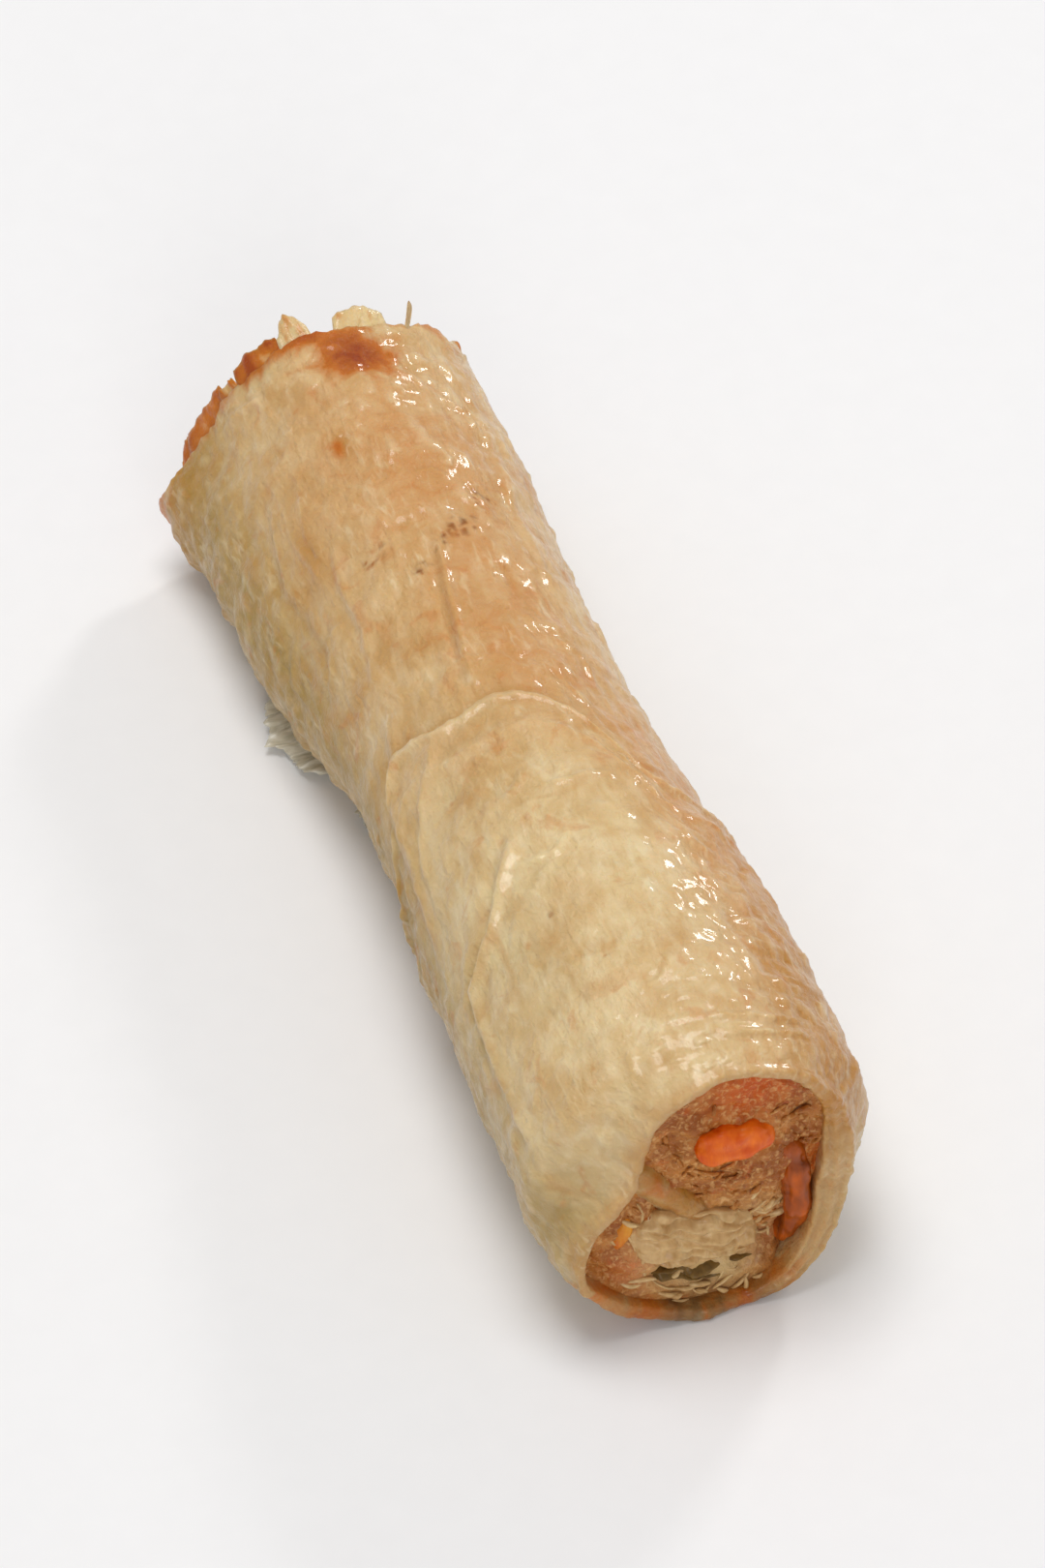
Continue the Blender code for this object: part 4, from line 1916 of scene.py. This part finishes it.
@dataclass(frozen=True)
class LooseFlake:
    """A thin scrap of paper that stands off the back rim.

    Its size is its width, length and rise, and with its lift and root it is in millimetres. The point is
    how much its outline narrows to its tip.
    """

    name: str
    around_degrees: float
    size: Triple
    toast: float
    seed: int
    pale: float = 0.3
    ragged: float = 0.34
    lift: float = -0.5
    root: float = 5.0
    point: float = 0.35

    def build(self, form: RollForm) -> bpy.types.Object:
        """Builds the scrap.

        Args:
            form: the roll's form.

        Returns:
            The object.
        """
        noise = GradientNoise(self.seed)
        width, length, rise = (value * MM for value in self.size)
        root = self.root * MM
        u, v = sheet_grid((-1, 1, 41), (0, 1, 35))
        ragged = noise.fractal(np.stack([u * 1.7, u * 0, u * 0 + self.seed], -1), 3, 0.6)
        outline = 1 - self.point * np.abs(u) ** 1.5 + self.ragged * ragged
        narrow = 1 - 0.25 * v**2
        reach = root + length * np.clip(outline, 0.1, 1.4)
        y = form.length / 2 - root + reach * v
        waver = noise.fractal(np.stack([u * 1.3, v * 1.6, u * 0], -1), 3)
        around = math.radians(self.around_degrees) + u * narrow * width / 2 / form.back_radius
        past = smooth_step(0.0, 1.0, (y - form.length / 2 + 1.5 * MM) / (length + 1.5 * MM))
        lift = self.lift * MM + rise * past + 0.7 * MM * waver * past
        points = form.point(y, around, lift)
        burnt = np.clip(self.toast + 0.5 * ragged + 0.6 * waver, 0, 1)
        shades = {
            Shade.TOAST_AND_SHADE: burnt,
            Shade.HONEY: 0.5 * burnt,
            Shade.OLIVE: 0.0,
            Shade.PEACH: 0.2,
            Shade.PALE: self.pale,
        }
        return make_leaf(self.name, points, 0.26 * MM, shades)


@dataclass
class CrispFrill:
    """A brittle frill of starch at the roll's foot, on the -X side, with its sizes in millimetres.

    The ends are its first and last y. The root is where it leaves the roll, sideways from the axis and
    up. The outline is the y and x of its tips.
    """

    form: RollForm
    name: str = "crisp_frill"
    ends: Pair = (38, 13)
    root: Pair = (-6.5, 2.2)
    cells: tuple[int, int] = (130, 50)
    outline: tuple[Pair, ...] = (
        *((12.5, -8.0), (14, -11.8), (16.5, -12.2), (18, -10.5), (20.5, -10.8), (22.5, -12.6)),
        *((24.3, -16.2), (26, -16.0), (27.2, -16.8), (28.8, -18.4), (30.5, -17.0), (32, -17.6)),
        *((33.5, -16.6), (35, -16.4), (36.6, -13), (38.5, -8.5)),
    )

    def build(self) -> bpy.types.Object:
        """Builds a thin, rippled sheet with a ragged outline, low over the surface.

        Returns:
            The object.
        """
        noise = GradientNoise(31)
        u, v = sheet_grid((0, 1, self.cells[0]), (0, 1, self.cells[1]))
        y = self.ends[0] + (self.ends[1] - self.ends[0]) * u
        ragged = noise.fractal(np.stack([u * 11, u * 0, u * 0], -1), 4, 0.8)
        outline_y, outline_x = np.array(self.outline).T
        tip = np.interp(y, outline_y, outline_x) - 0.9 + 1.6 * ragged
        x = self.root[0] + (tip - self.root[0]) * v
        crinkle = noise.fractal(np.stack([u * 14, v * 2.5, u * 0 + 4], -1), 3)
        z = self.root[1] * (1 - v) ** 1.4 + 0.55 + (0.5 + 0.6 * v) * (0.6 + crinkle)
        x = x + self.form.axis_x / MM
        points = np.stack([x, y + 0.8 * v * ragged, np.maximum(z, 0.3)], -1) * MM
        return make_leaf(self.name, points, 0.2 * MM, {})


@dataclass
class SpringRoll:
    """The whole roll: its turns of paper, its filling and the cut pieces in its mouth."""

    form: RollForm

    def paper_folds(self) -> tuple[Fold, ...]:
        """The larger folds in the paper.

        Returns:
            The folds, and the short creases after them.
        """
        return (
            Fold(((0.27, 89), (0.336, 95.6), (0.399, 99.8), (0.463, 104)), 0.62 * MM, 0.55 * MM),
            Fold(((0.44, 142), (0.473, 145), (0.512, 155), (0.62, 160), (0.70, 168)), 0.60 * MM, 1.0 * MM),
            Fold(
                ((0.66, 116), (0.681, 121), (0.735, 138), (0.76, 156), (0.84, 159), (0.95, 161)),
                0.85 * MM,
                0.75 * MM,
            ),
            Fold(((0.50, 126), (0.55, 140), (0.61, 152), (0.67, 157)), 0.45 * MM, 0.7 * MM),
            Fold(((0.22, 128), (0.27, 134), (0.33, 133), (0.40, 139)), 0.40 * MM, 0.7 * MM),
            Fold(((0.695, 121), (0.70, 113), (0.701, 104)), 0.46 * MM, 0.45 * MM),
            Fold(((0.925, 96), (0.935, 80), (0.942, 66), (0.940, 50)), 0.30 * MM, 0.45 * MM),
            Fold(((0.952, 84), (0.958, 70), (0.956, 52)), 0.25 * MM, 0.4 * MM),
            Fold(((0.14, 150), (0.22, 158), (0.31, 152)), 0.35 * MM, 0.8 * MM),
            Fold(((0.10, 40), (0.22, 48), (0.36, 52)), 0.26 * MM, 0.8 * MM),
            Fold(((0.18, 250), (0.42, 262), (0.66, 255)), 0.30 * MM, 0.9 * MM),
            Fold(((0.50, 330), (0.64, 338), (0.84, 326)), 0.34 * MM, 0.9 * MM),
            Fold(((0.16, 352), (0.34, 345), (0.48, 356)), 0.34 * MM, 0.9 * MM),
            *self.creases(64),
        )

    def creases(self, count: int) -> tuple[Fold, ...]:
        """Short, shallow creases scattered over the paper.

        Args:
            count: how many.

        Returns:
            The creases.
        """
        rng = np.random.default_rng(23)
        degrees_per_length = 260
        made = []
        for _ in range(count):
            along, degrees = rng.uniform(0.03, 0.96), rng.uniform(0, 360)
            heading, length = rng.uniform(0, math.pi), rng.uniform(0.03, 0.10)
            step = (length * math.cos(heading), degrees_per_length * length * math.sin(heading))
            bend = rng.normal(0, 0.25)
            middle_along = along + step[0] / 2 - bend * step[1] / 900
            middle = (middle_along, degrees + step[1] / 2 + bend * step[0] * 300)
            route = ((along, degrees), middle, (along + step[0], degrees + step[1]))
            made.append(Fold(route, rng.uniform(0.12, 0.32) * MM, rng.uniform(0.32, 0.55) * MM))
        return tuple(made)

    def loose_flakes(self) -> tuple[LooseFlake, ...]:
        """The scraps round the back rim: pale petals on top, toasted curls on the -X side, a few elsewhere.

        Returns:
            The scraps.
        """
        return (
            LooseFlake("flake_petal_a", 108, (4.6, 3.4, 1.5), 0.0, 101, pale=0.4, ragged=0.22, point=0.6),
            LooseFlake("flake_petal_b", 80, (7.6, 2.6, 0.9), 0.0, 132, pale=0.3, ragged=0.30, point=0.45),
            LooseFlake("flake_wisp", 60, (0.45, 1.6, 2.4), 0.1, 103, pale=0.5, point=0.2),
            LooseFlake("flake_curl_a", 126, (8.0, 2.6, 0.5), 0.62, 124, pale=0.0, point=0.15),
            LooseFlake("flake_curl_b", 146, (5.0, 2.0, 0.9), 0.40, 135, pale=0.2, point=0.2, lift=-0.9),
            LooseFlake("flake_curl_c", 160, (9.0, 2.9, 0.4), 0.50, 146, pale=0.1, point=0.1),
            LooseFlake("flake_curl_d", 176, (4.4, 3.2, 0.0), 0.66, 157, pale=0.0, point=0.5, lift=-1.1),
            LooseFlake("flake_low_a", 232, (5.4, 2.2, -0.4), 0.25, 109),
            LooseFlake("flake_side_a", 24, (5.0, 1.8, 0.5), 0.15, 110),
            LooseFlake("flake_side_b", 342, (6.2, 2.3, 0.3), 0.35, 111),
        )

    def wrap(self) -> list[bpy.types.Object]:
        """Builds the paper.

        Returns:
            The pieces.
        """
        paper = FriedPaper().material()
        folds = self.paper_folds()
        sheets = (
            BackTurn(self.form, folds=folds),
            FrontTurn(self.form, folds=folds, blisters=Blisters(seed=6, count=4200)),
            FrayedTurn(self.form),
            InnerFold(self.form),
        )
        made = [sheet.build() for sheet in sheets]
        made += [flake.build(self.form) for flake in self.loose_flakes()]
        for obj in made:
            self.dress(obj, paper, WRAPPER)
        frill = CrispFrill(self.form).build()
        self.dress(frill, CrispStarch().material(), WRAPPER)
        return [*made, frill]

    def fill(self) -> list[bpy.types.Object]:
        """Builds the mince.

        Returns:
            The pieces.
        """
        mince = CookedMince().material()
        made = []
        body = Filling(self.form)
        fibres = (
            ShredZone((1.5 * MM, -1 * MM), 10.5 * MM, 90),
            ShredZone((0.0, -1 * MM), 11 * MM, 90, front=False),
        )
        for part in (body, Shreds(body, "filling_shreds", fibres)):
            obj = part.build()
            self.dress(obj, mince, FILLING)
            made.append(obj)
        return made

    def garnish(self) -> list[bpy.types.Object]:
        """Builds the cut vegetables in the mouth.

        Returns:
            The pieces.
        """
        finishes = (
            CookedVegetable("cooked_carrot", srgb(244, 122, 22), srgb(206, 66, 0), gloss=0.25),
            CookedVegetable("braised_carrot", srgb(206, 96, 14), srgb(112, 46, 4), 1.2 * MM, 0.3),
            CookedVegetable("golden_carrot", srgb(232, 160, 50), srgb(206, 96, 12), 1.0 * MM, 0.3),
            CookedVegetable("cooked_cabbage", srgb(236, 202, 146), srgb(182, 136, 78), 0.8 * MM),
            CookedVegetable("wood_ear_mushroom", srgb(140, 108, 54), srgb(82, 58, 24), 0.8 * MM, 0.2),
        )
        carrot, braised, golden, cabbage, mushroom = (finish.material() for finish in finishes)
        ribbon = CutPiece(
            node="carrot_strip",
            size=(3.4, 3.2, 16.0),
            tilt_degrees=-2,
            seed=42,
            squareness=2.8,
            bow=0.10,
            rippled=0.3 * MM,
            crumple=1.2 * MM,
            shift=(0.6 * MM, 1.0 * MM, 0.4 * MM),
        )
        pieces = (
            (self.sunk("carrot_chunk", (4.6, 3.4, 8.4), 96, 41, 1.3 * MM), carrot, "cooked_carrot"),
            (ribbon, braised, "cooked_carrot"),
            (self.sunk("carrot_shred", (2.0, 2.8, 5.0), 14, 43, 0.0), golden, "cooked_carrot"),
            (self.leafy("cabbage_strip", (7.2, 3.4, 14.0), -74, 44), cabbage, "cooked_cabbage"),
            (self.leafy("mushroom_sliver", (2.0, 2.6, 12.0), -84, 45), mushroom, "wood_ear_mushroom"),
        )
        made = [self.leaf_shreds(cabbage)]
        for piece, material, slot in pieces:
            obj = piece.build()
            self.dress(obj, material, piece.node)
            made.append(obj)
        return made

    def leaf_shreds(self, material: bpy.types.Material) -> bpy.types.Object:
        """Pale shreds of leaf and noodle round the leafy pieces in the lower half of the mouth.

        Args:
            material: the cabbage's finish.

        Returns:
            The piece.
        """
        zones = (
            ShredZone((-4.2 * MM, -9.2 * MM), 4.2 * MM, 44),
            ShredZone((0.5 * MM, -13.2 * MM), 4.4 * MM, 34),
            ShredZone((-7.4 * MM, -6.0 * MM), 2.4 * MM, 12),
            ShredZone((4.0 * MM, -8.5 * MM), 3.6 * MM, 20),
        )
        lengths, radii = (1.4 * MM, 4.2 * MM), (0.14 * MM, 0.34 * MM)
        obj = Shreds(Filling(self.form), "leaf_shreds", zones, lengths, radii, 0.60 * MM, 78).build()
        self.dress(obj, material, "cabbage_strip")
        return obj

    def sunk(self, node: str, size: Triple, tilt_degrees: float, seed: int, raised: float) -> CutPiece:
        """A firm cut piece, pressed into the mince until only its face shows."""
        place = (0.0, 1.2 * MM, raised)
        return CutPiece(node, size, tilt_degrees, seed, squareness=3.0, crumple=1.0 * MM, shift=place)

    def leafy(self, node: str, size: tuple[float, ...], tilt_degrees: float, seed: int) -> CutPiece:
        """A soft, crumpled piece in several layers, as a cut leaf or mushroom is.

        Args:
            node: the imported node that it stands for.
            size: its size, in millimetres.
            tilt_degrees: its turn about the roll's length.
            seed: picks its own unevenness.

        Returns:
            The piece, not yet built.
        """
        return CutPiece(
            node,
            size,
            tilt_degrees,
            seed,
            cuts=31,
            squareness=2.6,
            bow=-0.05,
            rippled=0.30 * MM,
            crumple=1.1 * MM,
            shift=(0.0, 0.5 * MM, -1.0 * MM),
            layers=0.5 * MM,
        )

    def dress(self, obj: bpy.types.Object, material: bpy.types.Material, node: str) -> None:
        """Gives a piece its finish and says what it stands for.

        Args:
            obj: the piece.
            material: its finish.
            node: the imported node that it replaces.
        """
        obj.data.materials.clear()
        obj.data.materials.append(material)
        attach(obj, "root")
        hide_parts(node)

    def build(self) -> list[bpy.types.Object]:
        """Builds every piece."""
        return [*self.wrap(), *self.fill(), *self.garnish()]


@dataclass(frozen=True)
class AreaLight:
    """A soft, square lamp: the direction it comes from, its distance, size and power."""

    name: str
    azimuth: float
    elevation: float
    distance: float
    size: float
    power: float


@dataclass
class Studio:
    """A plain pale floor, soft light and the camera."""

    camera_azimuth: float = -19.7
    camera_elevation: float = 47.7
    camera_distance: float = 1.021
    lens: float = 222.0
    sky_strength: float = 0.37
    floor_half: float = 3.0
    lamps: tuple[AreaLight, ...] = (
        AreaLight("key", -150, 82, 0.9, 0.45, 4.6),
        AreaLight("glint", 130, 30, 0.9, 0.12, 1.5),
        AreaLight("front", -12, 26, 1.0, 0.5, 2.1),
    )

    def direction(self, azimuth: float, elevation: float) -> Vector:
        """The unit vector towards a place seen from the roll, azimuth 0 being at -Y and 90 at +X."""
        a, e = math.radians(azimuth), math.radians(elevation)
        return Vector((math.sin(a) * math.cos(e), -math.cos(a) * math.cos(e), math.sin(e)))

    def aim(
        self, obj: bpy.types.Object, target: Vector, azimuth: float, elevation: float, distance: float
    ) -> None:
        """Puts an object at a distance from a target, looking at it.

        Args:
            obj: the lamp or the camera.
            target: what it looks at.
            azimuth: the direction to it, in degrees.
            elevation: its angle over the floor, in degrees.
            distance: how far from the target, in metres.
        """
        back = self.direction(azimuth, elevation)
        obj.location = target + back * distance
        obj.rotation_mode = "QUATERNION"
        obj.rotation_quaternion = (-back).to_track_quat("-Z", "Y")

    def build(self, target: Vector) -> None:
        """Makes the floor, the lamps, the sky and the camera.

        Args:
            target: the middle of the roll.
        """
        scene = bpy.context.scene
        scene.view_settings.view_transform = "Standard"
        self.lay_floor()
        for lamp in self.lamps:
            data = bpy.data.lights.new(lamp.name, "AREA")
            data.size = lamp.size
            data.energy = lamp.power
            self.aim(add_object(lamp.name, data), target, lamp.azimuth, lamp.elevation, lamp.distance)
        world = bpy.data.worlds.new("studio")
        world.use_nodes = True
        sky = world.node_tree.nodes["Background"]
        sky.inputs["Color"].default_value = (1.0, 1.0, 1.0, 1.0)
        sky.inputs["Strength"].default_value = self.sky_strength
        scene.world = world
        data = bpy.data.cameras.new("camera")
        data.sensor_width = 36
        data.lens = self.lens
        data.clip_start = 0.01
        camera = add_object("camera", data)
        self.aim(camera, target, self.camera_azimuth, self.camera_elevation, self.camera_distance)
        scene.camera = camera

    def lay_floor(self) -> None:
        """Lays a wide, flat floor."""
        bench = NodeBench("studio_floor")
        grain = bench.noise(4 * MM, 2)
        colour = bench.mix(grain, srgb(238, 237, 237), srgb(241, 240, 240))
        material = bench.finish(colour, 0.75, bench.bump(grain, 0.01 * MM))
        mesh = bpy.data.meshes.new("floor")
        half = self.floor_half
        corners = [(-half, -half, 0), (half, -half, 0), (half, half, 0), (-half, half, 0)]
        mesh.from_pydata(corners, [], [(0, 1, 2, 3)])
        mesh.materials.append(material)
        floor = add_object("floor", mesh)
        floor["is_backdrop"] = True


def main() -> None:
    """Builds the roll's looks and the studio."""
    logging.basicConfig(level=logging.INFO, format="%(message)s")
    cad_low, cad_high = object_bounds()
    form = RollForm.from_frame()
    for obj in SpringRoll(form).build():
        log.info("%s: %d faces", obj.name, len(obj.data.polygons))
    middle = Vector((form.axis_x, 0.0, (cad_low.z + cad_high.z) / 2))
    Studio().build(middle)


if __name__ == "__main__":
    main()
